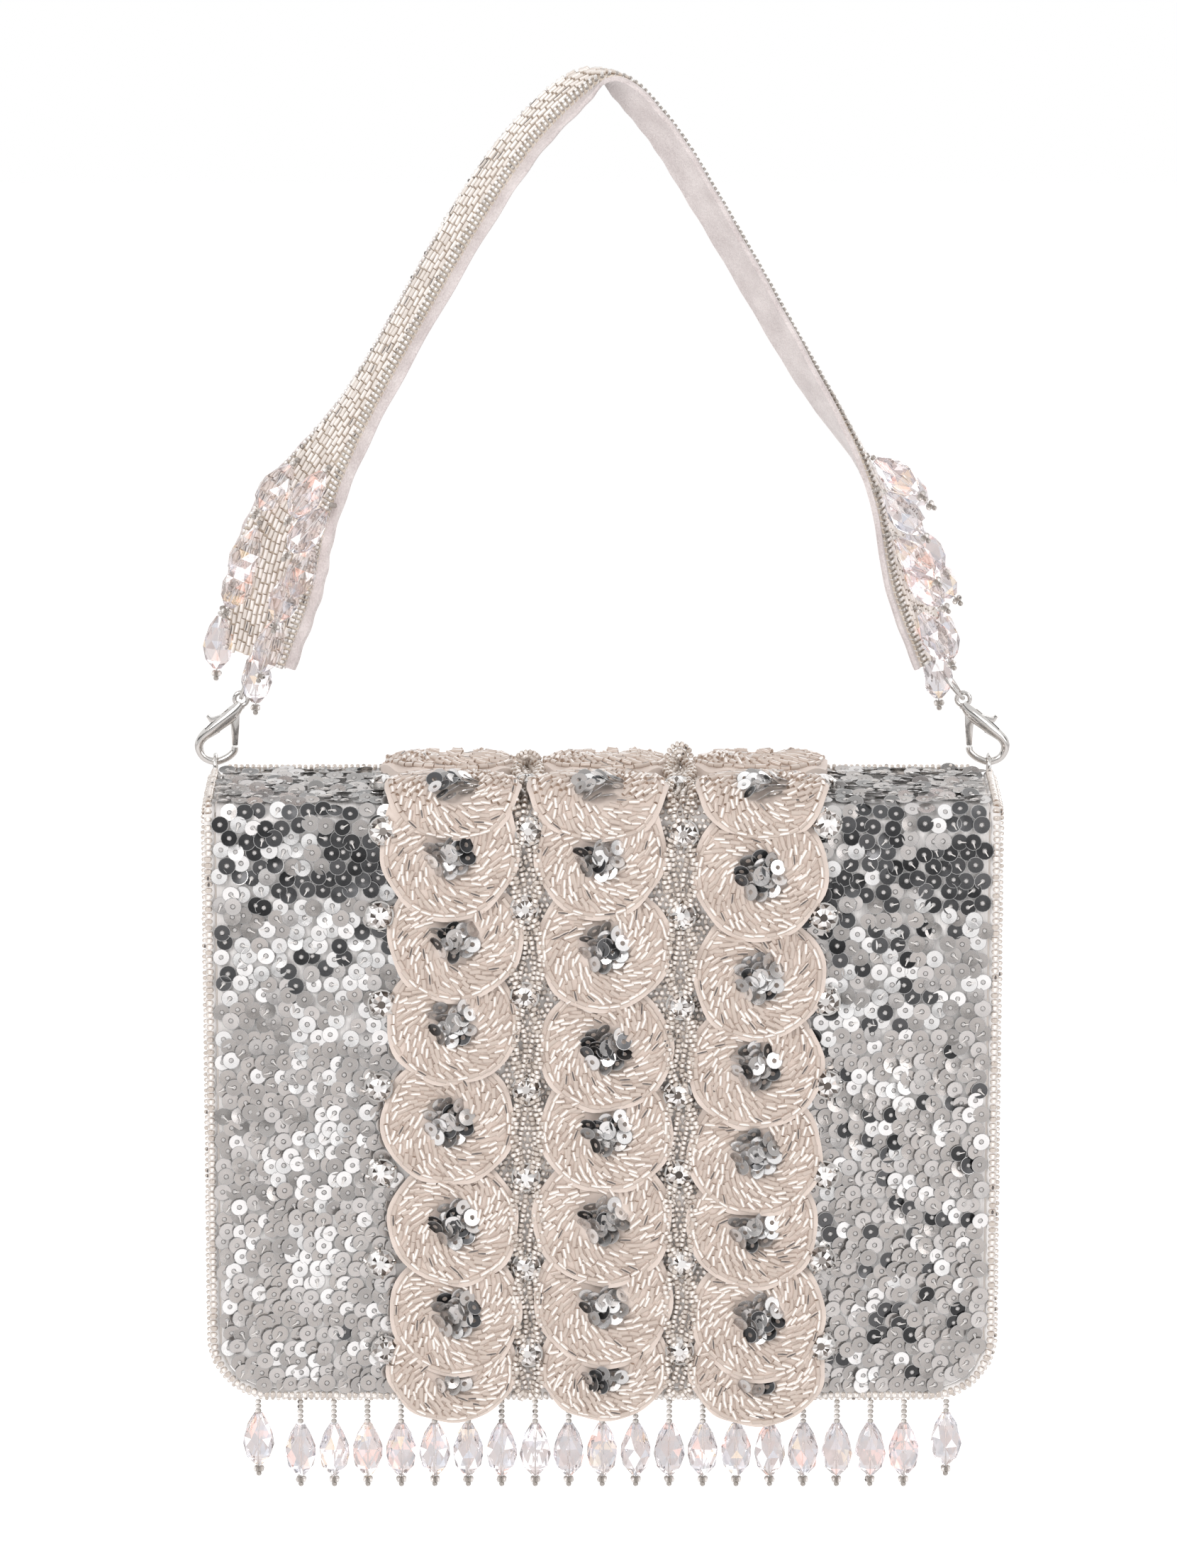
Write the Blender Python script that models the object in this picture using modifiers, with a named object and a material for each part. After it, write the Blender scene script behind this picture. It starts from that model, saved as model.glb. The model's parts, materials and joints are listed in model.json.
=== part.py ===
"""Evening bag: a stiffened flap bag that hangs from a beaded strap by two lobster clasps.

Metres, +Z up, +X to the right, the front faces -Y. The origin lies under the strap's apex,
where a hook or a hand carries the bag, and the strap hangs in the plane Y = 0.
"""

import math

import bmesh
import bpy
from mathutils import Matrix, Vector

MM = 0.001

# Clearances
SEAT_GAP = 0.3 * MM
PIN_CLEARANCE = 0.15 * MM

# Strap
STRAP_DROP = 166.5 * MM
STRAP_CROWN = 1.9 * MM
BAND_WIDTH = 12.5 * MM
BAND_THICKNESS = 2.8 * MM
BAND_SHOULDER = 1.5 * MM
PADDLE_WIDTH = 27 * MM
PADDLE_END_WIDTH = 21 * MM
BACKING_THICKNESS = 1.2 * MM
BACKING_MARGIN = 1.6 * MM
LEFT_END_INSET = 4 * MM
RIGHT_END_INSET = 9.5 * MM

# Each limb's route from the apex down as (share of its reach, share of its drop, turn about Z in degrees)
LEFT_ROUTE = (
    (0.17, 0.046, 42),
    (0.364, 0.203, 45),
    (0.671, 0.529, 46),
    (0.87, 0.729, 56),
    (0.945, 0.86, 62),
    (1, 1, 62),
)
RIGHT_ROUTE = (
    (0.16, 0.057, 38),
    (0.334, 0.215, 35),
    (0.598, 0.479, 30),
    (0.806, 0.683, 0),
    (0.91, 0.85, -18),
    (1, 1, -22),
)
APEX_TURN = 40
PADDLE_START = 0.55
PADDLE_WIDEST = 0.86
STRAP_STEPS = 4

# Strap rings and lobster clasps
EYE_DROP = 12.8 * MM
STRAP_RING_WIRE = 1.2 * MM
CLASP_EYE_RADIUS = 1.95 * MM
CLASP_EYE_WIRE = 1.3 * MM
CLASP_HOOK_OUT = 7.7 * MM
CLASP_HOOK_DROP = 18.8 * MM
CLASP_HOOK_WIRE = 2.2 * MM
CLASP_SLOT = 2.2 * MM
LEVER_THICKNESS = 1.6 * MM
LEVER_PIN = 1.1 * MM
LEVER_PIN_LENGTH = 3.6 * MM

# Rings on the bag
BAG_RING_WIRE = 1.2 * MM
BAG_RING_WIDTH = 8 * MM
BAG_RING_HEIGHT = 12.2 * MM
BAG_RING_OUTSET = 1 * MM
RING_LOOP_CORD = 2 * MM
RING_LOOP_LENGTH = 13 * MM

# Body
BODY_WIDTH = 225 * MM
BODY_DEPTH = 42 * MM
BODY_HEIGHT = 168 * MM
BODY_SET_FORWARD = 4.5 * MM
WALL = 2.2 * MM
WALL_EDGE = 0.6 * MM
MOUTH_DIP = 3 * MM
LINING_WALL = 0.8 * MM

# Magnetic snap
SNAP_DIAMETER = 14 * MM
SNAP_HEIGHT = 1.5 * MM
SNAP_NUB = 4.4 * MM
SNAP_NUB_HEIGHT = 0.7 * MM
SNAP_ABOVE_BASE = 40 * MM

# Flap
FLAP_SIDE_OVERHANG = 2.1 * MM
FLAP_LOW_OVERHANG = 3.5 * MM
FLAP_WALL = 2.2 * MM
FLAP_LINING = 0.6 * MM
FLAP_BELOW_AXIS = 1.2 * MM
FOLD_RADIUS = 6 * MM
FLAP_CORNER = 11.5 * MM
EDGE_ROLL = 3.4 * MM
SEQUIN_FIELD = 1.1 * MM

# Rosettes and bead ropes
ROSETTE_DIAMETER = 38.6 * MM
ROSETTE_THICKNESS = 2.6 * MM
ROSETTE_LIFT = 2 * MM
ROSETTE_COLUMN_PITCH = 45.5 * MM
ROSETTES_ON_FRONT = 7
ROSETTE_FIRST_BELOW_TOP = 17.6 * MM
ROSETTE_LAST_BELOW_EDGE = 0.8 * MM
ROSETTE_TOP_PITCH = 23 * MM
LAST_ROSETTE_REACH = 9.5 * MM
ROSETTE_EYE_DIAMETER = 13 * MM
ROSETTE_EYE_HEIGHT = 2.2 * MM
ROSETTE_EYE_SIDES = 8
ROPE_DIAMETER = 5 * MM

# Fringe of drops
FRINGE_COUNT = 19
FRINGE_PITCH = 9.8 * MM
CORNER_DROP_X = 100.5 * MM
STEM_DIAMETER = 2.1 * MM
STEM_LENGTH = 7.4 * MM
CORNER_STEM_LENGTH = 4.2 * MM
DROP_DIAMETER = 9.2 * MM
DROP_LENGTH = 15.5 * MM
TIP_DIAMETER = 3.4 * MM
TIP_LENGTH = 4 * MM
DROP_SIDES = 8

# Drops on the strap's paddles
PADDLE_DROP_ROWS = (0.66, 0.745, 0.83, 0.915)
PADDLE_DROP_SPREAD = 6.2 * MM
PADDLE_DROP_SINK = 0.5 * MM
PADDLE_DROP_SPLAY = 14
PADDLE_DROP_SIDES = 6

# Places that follow from the sizes
STRAP_SEAT = SEAT_GAP + BACKING_THICKNESS
EYE_Z = -(STRAP_CROWN + STRAP_DROP + EYE_DROP)
SWING_Z = EYE_Z - CLASP_HOOK_DROP
RING_X = BODY_WIDTH / 2 + BAG_RING_OUTSET
EYE_X = RING_X - CLASP_HOOK_OUT
BACK_Y = -BODY_SET_FORWARD
FRONT_Y = BACK_Y - BODY_DEPTH
FLAP_TOP = SWING_Z - FLAP_BELOW_AXIS
FLAP_INNER_TOP = FLAP_TOP - FLAP_WALL
BODY_TOP = FLAP_INNER_TOP - SEAT_GAP
BASE_Z = BODY_TOP - BODY_HEIGHT
SNAP_STACK = 2 * SNAP_HEIGHT + 3 * SEAT_GAP
FLAP_FRONT = FRONT_Y - SNAP_STACK - FLAP_LINING - SEAT_GAP - FLAP_WALL
FLAP_BOTTOM = BASE_Z - FLAP_LOW_OVERHANG
FLAP_HEIGHT = FLAP_TOP - FLAP_BOTTOM
HINGE = Vector((0, BACK_Y - WALL / 2, FLAP_TOP - FLAP_WALL / 2))
FLAP_HALF = BODY_WIDTH / 2 + FLAP_SIDE_OVERHANG - EDGE_ROLL - SEAT_GAP
TOP_RUN = HINGE.y - FLAP_FRONT - FOLD_RADIUS
FOLD_RUN = FOLD_RADIUS * math.pi / 2
FLAP_END = TOP_RUN + FOLD_RUN + FLAP_HEIGHT - FOLD_RADIUS
EDGE_OFFSET = SEAT_GAP + EDGE_ROLL / 2
EDGE_Z = FLAP_BOTTOM - EDGE_OFFSET
EDGE_Y = FLAP_FRONT + FLAP_WALL / 2
ROSETTE_FRONT_RUN = FLAP_HEIGHT + ROSETTE_LAST_BELOW_EDGE - ROSETTE_FIRST_BELOW_TOP
ROSETTE_FRONT_PITCH = ROSETTE_FRONT_RUN / (ROSETTES_ON_FRONT - 1)


# Scene

def clear_scene():
    for obj in list(bpy.data.objects):
        bpy.data.objects.remove(obj, do_unlink=True)


def new_collection(name):
    collection = bpy.data.collections.new(name)
    bpy.context.scene.collection.children.link(collection)
    return collection


clear_scene()
PARTS = new_collection("evening_bag")
CUTTERS = new_collection("cutters")


def material(name, colour, roughness, metallic=0.0):
    made = bpy.data.materials.new(name)
    made.use_nodes = True
    shader = made.node_tree.nodes["Principled BSDF"]
    shader.inputs["Base Color"].default_value = (*colour, 1)
    shader.inputs["Roughness"].default_value = roughness
    shader.inputs["Metallic"].default_value = metallic
    return made


BEADED = material("beadwork", (0.80, 0.72, 0.66), 0.35)
SILVER = material("silver_sequins", (0.72, 0.73, 0.75), 0.2, 1.0)
ROPE = material("clear_seed_beads", (0.78, 0.76, 0.74), 0.25)
CRYSTAL = material("crystal", (0.90, 0.88, 0.88), 0.05)
NICKEL = material("nickel", (0.70, 0.69, 0.68), 0.15, 1.0)
VELVET = material("white_velvet", (0.90, 0.86, 0.86), 0.9)
SATIN = material("ivory_satin", (0.80, 0.77, 0.74), 0.5)
LINING = material("lining_cloth", (0.78, 0.74, 0.72), 0.7)


def axis_empty(name, place, parent=None):
    """An empty on a joint's axis, which carries the pieces that turn about it."""
    empty = bpy.data.objects.new(name, None)
    PARTS.objects.link(empty)
    empty.location = place
    attach(empty, parent)
    return empty


def attach(obj, parent):
    """Parents an object without moving it."""
    if parent is not None:
        bpy.context.view_layer.update()
        obj.parent = parent
        obj.matrix_parent_inverse = parent.matrix_world.inverted()


def add_part(name, data, finish, parent=None, place=(0, 0, 0)):
    obj = bpy.data.objects.new(name, data)
    PARTS.objects.link(obj)
    obj.location = place
    data.materials.append(finish)
    attach(obj, parent)
    return obj


def mesh_from(name, bm):
    mesh = bpy.data.meshes.new(name)
    bm.to_mesh(mesh)
    bm.free()
    return mesh


# Shapes

def slab(name, low, high, finish, parent):
    """A stiffened panel between two corners, with broken edges."""
    low, high = Vector(low), Vector(high)
    bm = bmesh.new()
    bmesh.ops.create_cube(bm, size=1)
    bmesh.ops.scale(bm, vec=high - low, verts=bm.verts)
    bmesh.ops.translate(bm, vec=(low + high) / 2, verts=bm.verts)
    obj = add_part(name, mesh_from(name, bm), finish, parent)
    bevel = obj.modifiers.new("broken_edges", "BEVEL")
    bevel.width = WALL_EDGE
    bevel.segments = 1
    return obj


def smooth_points(points, per_span):
    """Points on a smooth curve through the given ones, with per_span steps between neighbours."""
    points = [Vector(p) for p in points]
    ends = [2 * points[0] - points[1]] + points + [2 * points[-1] - points[-2]]
    found = []
    for before, start, end, after in zip(ends, ends[1:], ends[2:], ends[3:]):
        for step in range(per_span):
            t = step / per_span
            found.append(0.5 * (2 * start + (end - before) * t
                                + (2 * before - 5 * start + 4 * end - after) * t * t
                                + (3 * start - before - 3 * end + after) * t ** 3))
    found.append(points[-1])
    return found


def tube(name, points, diameter, finish, parent=None, closed=False, thickness=None, resolution=2):
    """A round cord or wire along points; thickness holds each point's share of the diameter."""
    curve = bpy.data.curves.new(name, "CURVE")
    curve.dimensions = "3D"
    curve.bevel_depth = diameter / 2
    curve.bevel_resolution = resolution
    curve.use_fill_caps = True
    spline = curve.splines.new("POLY")
    spline.points.add(len(points) - 1)
    for index, (point, place) in enumerate(zip(spline.points, points)):
        point.co = (*place, 1)
        point.radius = thickness[index] if thickness else 1
    spline.use_cyclic_u = closed
    return add_part(name, curve, finish, parent)


def turned(name, profile, sides, finish, parent=None, place=(0, 0, 0)):
    """A shape turned about Z from (radius, height) points that run down its outer side."""
    bm = bmesh.new()
    verts = [bm.verts.new((radius, 0, height)) for radius, height in profile]
    for upper, lower in zip(verts, verts[1:]):
        bm.edges.new((upper, lower))
    obj = add_part(name, mesh_from(name, bm), finish, parent, place)
    screw = obj.modifiers.new("turn", "SCREW")
    screw.axis = "Z"
    screw.angle = 2 * math.pi
    screw.steps = sides
    screw.render_steps = sides
    screw.use_merge_vertices = True
    screw.merge_threshold = 0.01 * MM
    return obj


def solid_mesh(obj, name):
    """The evaluated object as one welded mesh in world space; the object itself is removed."""
    bpy.context.view_layer.update()
    evaluated = obj.evaluated_get(bpy.context.evaluated_depsgraph_get())
    mesh = bpy.data.meshes.new_from_object(evaluated)
    mesh.transform(obj.matrix_world)
    mesh.name = name
    bm = bmesh.new()
    bm.from_mesh(mesh)
    bmesh.ops.remove_doubles(bm, verts=bm.verts, dist=0.005 * MM)
    bmesh.ops.recalc_face_normals(bm, faces=bm.faces)
    bm.to_mesh(mesh)
    bm.free()
    bpy.data.objects.remove(obj, do_unlink=True)
    return mesh


def add_cutter(obj):
    """Moves an object to the cutters, out of the model."""
    mesh = solid_mesh(obj, "cutter")
    cutter = bpy.data.objects.new("cutter", mesh)
    CUTTERS.objects.link(cutter)
    cutter.hide_render = True
    cutter.display_type = "WIRE"
    return cutter


def combine(base, cutter, operation):
    """Adds a Boolean of base with a cutter, which is kept hidden beside the model."""
    boolean = base.modifiers.new(operation.lower(), "BOOLEAN")
    boolean.operation = operation
    boolean.object = cutter


def as_mesh_part(obj, name, finish, parent=None):
    return add_part(name, solid_mesh(obj, name), finish, parent)


# Strap

def strap_stations():
    """The strap's centreline from left end to right end, as rows of place, turn and width."""
    def limb(side, inset, route):
        reach = EYE_X - inset
        rows = []
        for along, down, turn in route:
            rows.append(((side * reach * along, 0, limb_height(down)), turn, band_width(down)))
        return rows
    apex = ((0, 0, STRAP_SEAT), APEX_TURN, BAND_WIDTH)
    return limb(-1, LEFT_END_INSET, LEFT_ROUTE)[::-1] + [apex] + limb(1, RIGHT_END_INSET, RIGHT_ROUTE)


def limb_height(down):
    return -STRAP_CROWN - STRAP_DROP * down


def band_width(down):
    """Width at a share of the drop: even, then widening to the paddle and drawn in at its end."""
    if down < PADDLE_START:
        return BAND_WIDTH
    if down < PADDLE_WIDEST:
        share = (down - PADDLE_START) / (PADDLE_WIDEST - PADDLE_START)
        return BAND_WIDTH + (PADDLE_WIDTH - BAND_WIDTH) * math.sin(share * math.pi / 2)
    share = (down - PADDLE_WIDEST) / (1 - PADDLE_WIDEST)
    return PADDLE_WIDTH + (PADDLE_END_WIDTH - PADDLE_WIDTH) * share


def strap_frames():
    """Frames along the strap: place, across (towards the back), outward normal and width."""
    rows = strap_stations()
    places = smooth_points([place for place, _, _ in rows], STRAP_STEPS)
    turns = smooth_points([(turn, width, 0) for _, turn, width in rows], STRAP_STEPS)
    frames = []
    for index, place in enumerate(places):
        ahead = places[min(index + 1, len(places) - 1)]
        behind = places[max(index - 1, 0)]
        along = (ahead - behind).normalized()
        turn = math.radians(turns[index].x)
        back = Vector((-math.sin(turn), math.cos(turn), 0))
        across = (back - along * back.dot(along)).normalized()
        frames.append((place, across, along.cross(across), turns[index].y))
    return frames


def loft(name, sections, finish):
    """A closed solid through sections of equal point counts; one diagonal keeps two lofts parallel."""
    bm = bmesh.new()
    rings = [[bm.verts.new(point) for point in section] for section in sections]
    count = len(rings[0])
    for ring, following in zip(rings, rings[1:]):
        for index in range(count):
            other = (index + 1) % count
            bm.faces.new((ring[index], ring[other], following[other]))
            bm.faces.new((ring[index], following[other], following[index]))
    bm.faces.new(rings[0][::-1])
    bm.faces.new(rings[-1])
    bmesh.ops.recalc_face_normals(bm, faces=bm.faces)
    return add_part(name, mesh_from(name, bm), finish)


def band_section(frame):
    place, across, outward, width = frame
    half = width / 2
    crown = half / 2
    shape = ((-half, 0), (half, 0), (half, BAND_SHOULDER), (crown, BAND_THICKNESS),
             (-crown, BAND_THICKNESS), (-half, BAND_SHOULDER))
    return [place + across * a + outward * h for a, h in shape]


def backing_section(frame):
    place, across, outward, width = frame
    half = width / 2
    edge = half + BACKING_MARGIN
    top = -SEAT_GAP
    low = top - BACKING_THICKNESS
    shape = ((edge, low), (-edge, low), (-edge, top), (-half, top), (half, top), (edge, top))
    return [place + across * a + outward * h for a, h in shape]


def drop_profile(stem_top, stem_length):
    """A drop below its pivot: a stem of seed beads, the faceted glass and a bead at its tip."""
    stem = STEM_DIAMETER / 2
    glass = DROP_DIAMETER / 2
    top = stem_top - stem_length
    bottom = top - DROP_LENGTH
    return (
        (0, stem_top),
        (stem, stem_top),
        (stem, top),
        (0.36 * glass, top - 0.01 * DROP_LENGTH),
        (0.8 * glass, top - 0.33 * DROP_LENGTH),
        (glass, top - 0.55 * DROP_LENGTH),
        (0.9 * glass, top - 0.74 * DROP_LENGTH),
        (0.3 * glass, bottom),
        (TIP_DIAMETER / 2, bottom - 0.45 * TIP_LENGTH),
        (0.5 * TIP_DIAMETER / 2, bottom - TIP_LENGTH),
        (0, bottom - TIP_LENGTH),
    )


def frame_at(frames, down, side):
    """The strap frame of one limb at a share of its drop."""
    limb = [frame for frame in frames if frame[0].x * side > 0]
    return min(limb, key=lambda frame: abs(frame[0].z - limb_height(down)))


def paddle_drop(frame, along, offset):
    """A drop that lies on the paddle's face, ready to be fused to the band that carries it."""
    place, across, outward, _ = frame
    obj = turned("paddle_drop", drop_profile(0, SEAT_GAP), PADDLE_DROP_SIDES, CRYSTAL)
    splay = math.radians(PADDLE_DROP_SPLAY)
    down = (along * math.cos(splay) + outward * math.sin(splay)).normalized()
    out = (outward - down * outward.dot(down)).normalized()
    turn = Matrix((down.cross(out), out, -down)).transposed().to_4x4()
    lift = BAND_THICKNESS + 0.36 * DROP_DIAMETER / 2 - PADDLE_DROP_SINK
    obj.matrix_world = Matrix.Translation(place + across * offset + outward * lift) @ turn
    return add_cutter(obj)


def build_strap():
    frames = strap_frames()
    band = loft("strap_band", [band_section(frame) for frame in frames], BEADED)
    for side in (-1, 1):
        for down in PADDLE_DROP_ROWS:
            frame = frame_at(frames, down, side)
            along = limb_down(frame)
            for lane in (-1, 1):
                combine(band, paddle_drop(frame, along, lane * PADDLE_DROP_SPREAD), "UNION")
    loft("strap_backing", [backing_section(frame) for frame in frames], VELVET)
    return frames


def limb_down(frame):
    """The strap's direction at a frame, pointing down its limb."""
    along = frame[1].cross(frame[2]).normalized()
    return along if along.z < 0 else -along


# Clasps and rings

def clasp_point(side, out, height, depth=0.0):
    """A point of a clasp from its eye: out is away from the bag's middle."""
    return Vector((side * (EYE_X + out), depth, EYE_Z + height))


# The hook's route from the eye as (out, height) in millimetres and its share of the hook wire's thickness
HOOK_ROUTE = (
    (0, -1.6, 1.35),
    (2.6, -4.4, 1.95),
    (7.3, -8.2, 1.85),
    (11.4, -11.6, 1.35),
    (12.5, -14.6, 1.12),
    (11, -17.6, 1),
    (7.7, -18.8, 1),
    (4.4, -17.7, 1),
    (2.3, -15.9, 0.96),
    (1.9, -14.4, 0.9),
)
LEVER_PIN_AT = (1.8 * MM, -4.9 * MM)
# The lever's outline from its pin: hub, thumb tab, gate
LEVER_OUTLINE = ((-1.3, 0.6), (0.2, 1.5), (6.8, -0.7), (7.8, 0.3), (8.5, -0.3), (7.4, -2.1), (1.5, -1.5),
                 (1.2, -3.6), (0.9, -8.3), (-0.7, -8.3), (-1.2, -3.1))
SLOT_OUT = (-1.5 * MM, 10.6 * MM)
SLOT_HEIGHT = (-9.9 * MM, -2.9 * MM)


def clasp_pin_place(side):
    return clasp_point(side, *LEVER_PIN_AT)


def cylinder_along_y(name, place, diameter, length, finish, sides=12):
    bm = bmesh.new()
    radius = diameter / 2
    bmesh.ops.create_cone(bm, cap_ends=True, segments=sides, radius1=radius, radius2=radius, depth=length)
    bmesh.ops.rotate(bm, cent=(0, 0, 0), matrix=Matrix.Rotation(math.pi / 2, 3, "X"), verts=bm.verts)
    return add_part(name, mesh_from(name, bm), finish, None, place)


def clasp_eye(side):
    bpy.ops.mesh.primitive_torus_add(
        major_radius=CLASP_EYE_RADIUS, minor_radius=CLASP_EYE_WIRE / 2, major_segments=16, minor_segments=8,
        location=clasp_point(side, 0, 0), rotation=(math.pi / 2, 0, 0))
    return add_cutter(bpy.context.object)


def build_clasp(side, word):
    route = smooth_points([(out * MM, height * MM, share) for out, height, share in HOOK_ROUTE], 2)
    hook = tube("hook", [clasp_point(side, p.x, p.y) for p in route], CLASP_HOOK_WIRE, NICKEL,
                thickness=[p.z for p in route])
    body = as_mesh_part(hook, f"{word}_clasp_body", NICKEL)
    combine(body, clasp_eye(side), "UNION")
    one = clasp_point(side, SLOT_OUT[0], SLOT_HEIGHT[0], -CLASP_SLOT / 2)
    other = clasp_point(side, SLOT_OUT[1], SLOT_HEIGHT[1], CLASP_SLOT / 2)
    low = [min(a, b) for a, b in zip(one, other)]
    high = [max(a, b) for a, b in zip(one, other)]
    slot = slab("slot", low, high, NICKEL, None)
    slot.modifiers.clear()
    combine(body, add_cutter(slot), "DIFFERENCE")
    bore = LEVER_PIN + 2 * PIN_CLEARANCE
    pin_hole = cylinder_along_y("pin_hole", clasp_pin_place(side), bore, 3 * LEVER_PIN_LENGTH, NICKEL)
    combine(body, add_cutter(pin_hole), "DIFFERENCE")
    cylinder_along_y(f"{word}_clasp_pin", clasp_pin_place(side), LEVER_PIN, LEVER_PIN_LENGTH, NICKEL)
    build_lever(side, word, bore)


def build_lever(side, word, bore):
    bm = bmesh.new()
    corners = [bm.verts.new((side * out * MM, 0, height * MM)) for out, height in LEVER_OUTLINE]
    bm.faces.new(corners)
    lever = add_part(f"{word}_clasp_lever", mesh_from("lever", bm), NICKEL, None, clasp_pin_place(side))
    wall = lever.modifiers.new("thickness", "SOLIDIFY")
    wall.thickness = LEVER_THICKNESS
    wall.offset = 0
    hole = cylinder_along_y("lever_hole", clasp_pin_place(side), bore, 3 * LEVER_THICKNESS, NICKEL)
    combine(lever, add_cutter(hole), "DIFFERENCE")


def build_strap_ring(side, word, frames):
    """The wire ring between a strap end and its clasp's eye, square to the eye."""
    end = frames[0 if side < 0 else -1][0]
    eye = clasp_point(side, 0, CLASP_EYE_RADIUS - CLASP_EYE_WIRE / 2 - STRAP_RING_WIRE / 2 - SEAT_GAP)
    across = end - eye
    seat = SEAT_GAP + BACKING_THICKNESS / 2
    radius = (across.length - STRAP_RING_WIRE / 2 - seat) / 2
    upward = across.normalized()
    middle = eye + upward * radius
    points = []
    steps = 20
    for step in range(steps):
        angle = 2 * math.pi * step / steps
        points.append(middle + upward * radius * math.cos(angle) + Vector((0, radius * math.sin(angle), 0)))
    tube(f"{word}_strap_ring", points, STRAP_RING_WIRE, NICKEL, closed=True)


def build_bag_ring(side, word, parent):
    """The oval ring that hangs on the hook's lowest point, in the plane across the hook."""
    radius = (BAG_RING_WIDTH - BAG_RING_WIRE) / 2
    straight = BAG_RING_HEIGHT - BAG_RING_WIDTH
    top = SWING_Z + CLASP_HOOK_WIRE / 2 + SEAT_GAP + BAG_RING_WIRE / 2
    upper = top - radius
    lower = upper - straight
    points = []
    steps = 10
    for step in range(steps + 1):
        angle = math.pi * step / steps
        points.append((side * RING_X, radius * math.cos(angle), upper + radius * math.sin(angle)))
    for step in range(steps + 1):
        angle = math.pi * step / steps
        points.append((side * RING_X, -radius * math.cos(angle), lower - radius * math.sin(angle)))
    tube(f"{word}_bag_ring", points, BAG_RING_WIRE, NICKEL, parent, closed=True)
    build_ring_loop(side, word, parent, lower - radius)


def build_ring_loop(side, word, parent, ring_low):
    """The sewn loop that passes through the ring and runs down the back panel."""
    reach = BAG_RING_WIRE / 2 + SEAT_GAP + RING_LOOP_CORD / 2
    sewn_y = BACK_Y + SEAT_GAP + RING_LOOP_CORD / 2
    over = ring_low + reach + SEAT_GAP / 3
    down = ring_low - RING_LOOP_LENGTH
    mid = (ring_low + down) / 2
    route = ((RING_X - 2.4 * reach, sewn_y, down), (RING_X - 1.7 * reach, sewn_y, mid),
             (RING_X - 1.1 * reach, sewn_y / 3, ring_low), (RING_X, 0, over),
             (RING_X + 1.1 * reach, sewn_y / 3, ring_low), (RING_X - 0.1 * reach, sewn_y, mid),
             (RING_X - 0.9 * reach, sewn_y, down))
    points = smooth_points([(side * x, y, z) for x, y, z in route], 3)
    tube(f"{word}_ring_loop", points, RING_LOOP_CORD, SATIN, parent, resolution=1)


# Body

def build_body(parent):
    half = BODY_WIDTH / 2
    inner_back = BACK_Y - WALL - SEAT_GAP
    inner_front = FRONT_Y + WALL + SEAT_GAP
    rim = BODY_TOP - MOUTH_DIP
    slab("back_panel", (-half, BACK_Y - WALL, BASE_Z), (half, BACK_Y, BODY_TOP), SATIN, parent)
    front_top = BODY_TOP - FLAP_LINING - 2 * SEAT_GAP
    slab("front_panel", (-half, FRONT_Y, BASE_Z), (half, FRONT_Y + WALL, front_top), SATIN, parent)
    slab("left_gusset", (-half, inner_front, BASE_Z), (WALL - half, inner_back, rim), SATIN, parent)
    slab("right_gusset", (half - WALL, inner_front, BASE_Z), (half, inner_back, rim), SATIN, parent)
    inside = half - WALL - SEAT_GAP
    slab("base_panel", (-inside, inner_front, BASE_Z), (inside, inner_back, BASE_Z + WALL), SATIN, parent)
    build_lining((-inside, inner_front, BASE_Z + WALL + SEAT_GAP), (inside, inner_back, rim), parent)
    build_snap_socket(parent)


def build_lining(low, high, parent):
    """The pouch inside the panels, open at the mouth."""
    low, high = Vector(low), Vector(high)
    bm = bmesh.new()
    bmesh.ops.create_cube(bm, size=1)
    bmesh.ops.scale(bm, vec=high - low, verts=bm.verts)
    bmesh.ops.translate(bm, vec=(low + high) / 2, verts=bm.verts)
    bm.faces.ensure_lookup_table()
    mouth = max(bm.faces, key=lambda face: face.calc_center_median().z)
    bmesh.ops.delete(bm, geom=[mouth], context="FACES_ONLY")
    lining = add_part("lining", mesh_from("lining", bm), LINING, parent)
    wall = lining.modifiers.new("cloth", "SOLIDIFY")
    wall.thickness = LINING_WALL
    wall.offset = -1


def snap_disc(name, profile, place, parent):
    """A turned half of the snap with its face towards -Y."""
    obj = turned(name, profile, 20, NICKEL, None, place)
    obj.rotation_euler = (math.pi / 2, 0, 0)
    attach(obj, parent)


def build_snap_socket(parent):
    radius = SNAP_DIAMETER / 2
    recess = SNAP_NUB / 2 + SEAT_GAP
    floor = SNAP_HEIGHT - SNAP_NUB_HEIGHT
    profile = ((0, floor), (recess, floor), (recess, SNAP_HEIGHT), (0.9 * radius, SNAP_HEIGHT),
               (radius, 0.7 * SNAP_HEIGHT), (radius, 0), (0, 0))
    snap_disc("snap_socket", profile, (0, FRONT_Y - SEAT_GAP, BASE_Z + SNAP_ABOVE_BASE), parent)


def build_snap_stud(parent):
    radius = SNAP_DIAMETER / 2
    nub = SNAP_NUB / 2
    face = -SNAP_HEIGHT
    tip = face - SNAP_NUB_HEIGHT + SEAT_GAP
    profile = ((0, 0), (radius, 0), (radius, 0.7 * face), (0.9 * radius, face), (nub, face), (nub, tip),
               (0, tip))
    place = (0, FRONT_Y - SNAP_STACK + SEAT_GAP, BASE_Z + SNAP_ABOVE_BASE)
    snap_disc("snap_stud", profile, place, parent)


# Flap

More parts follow.
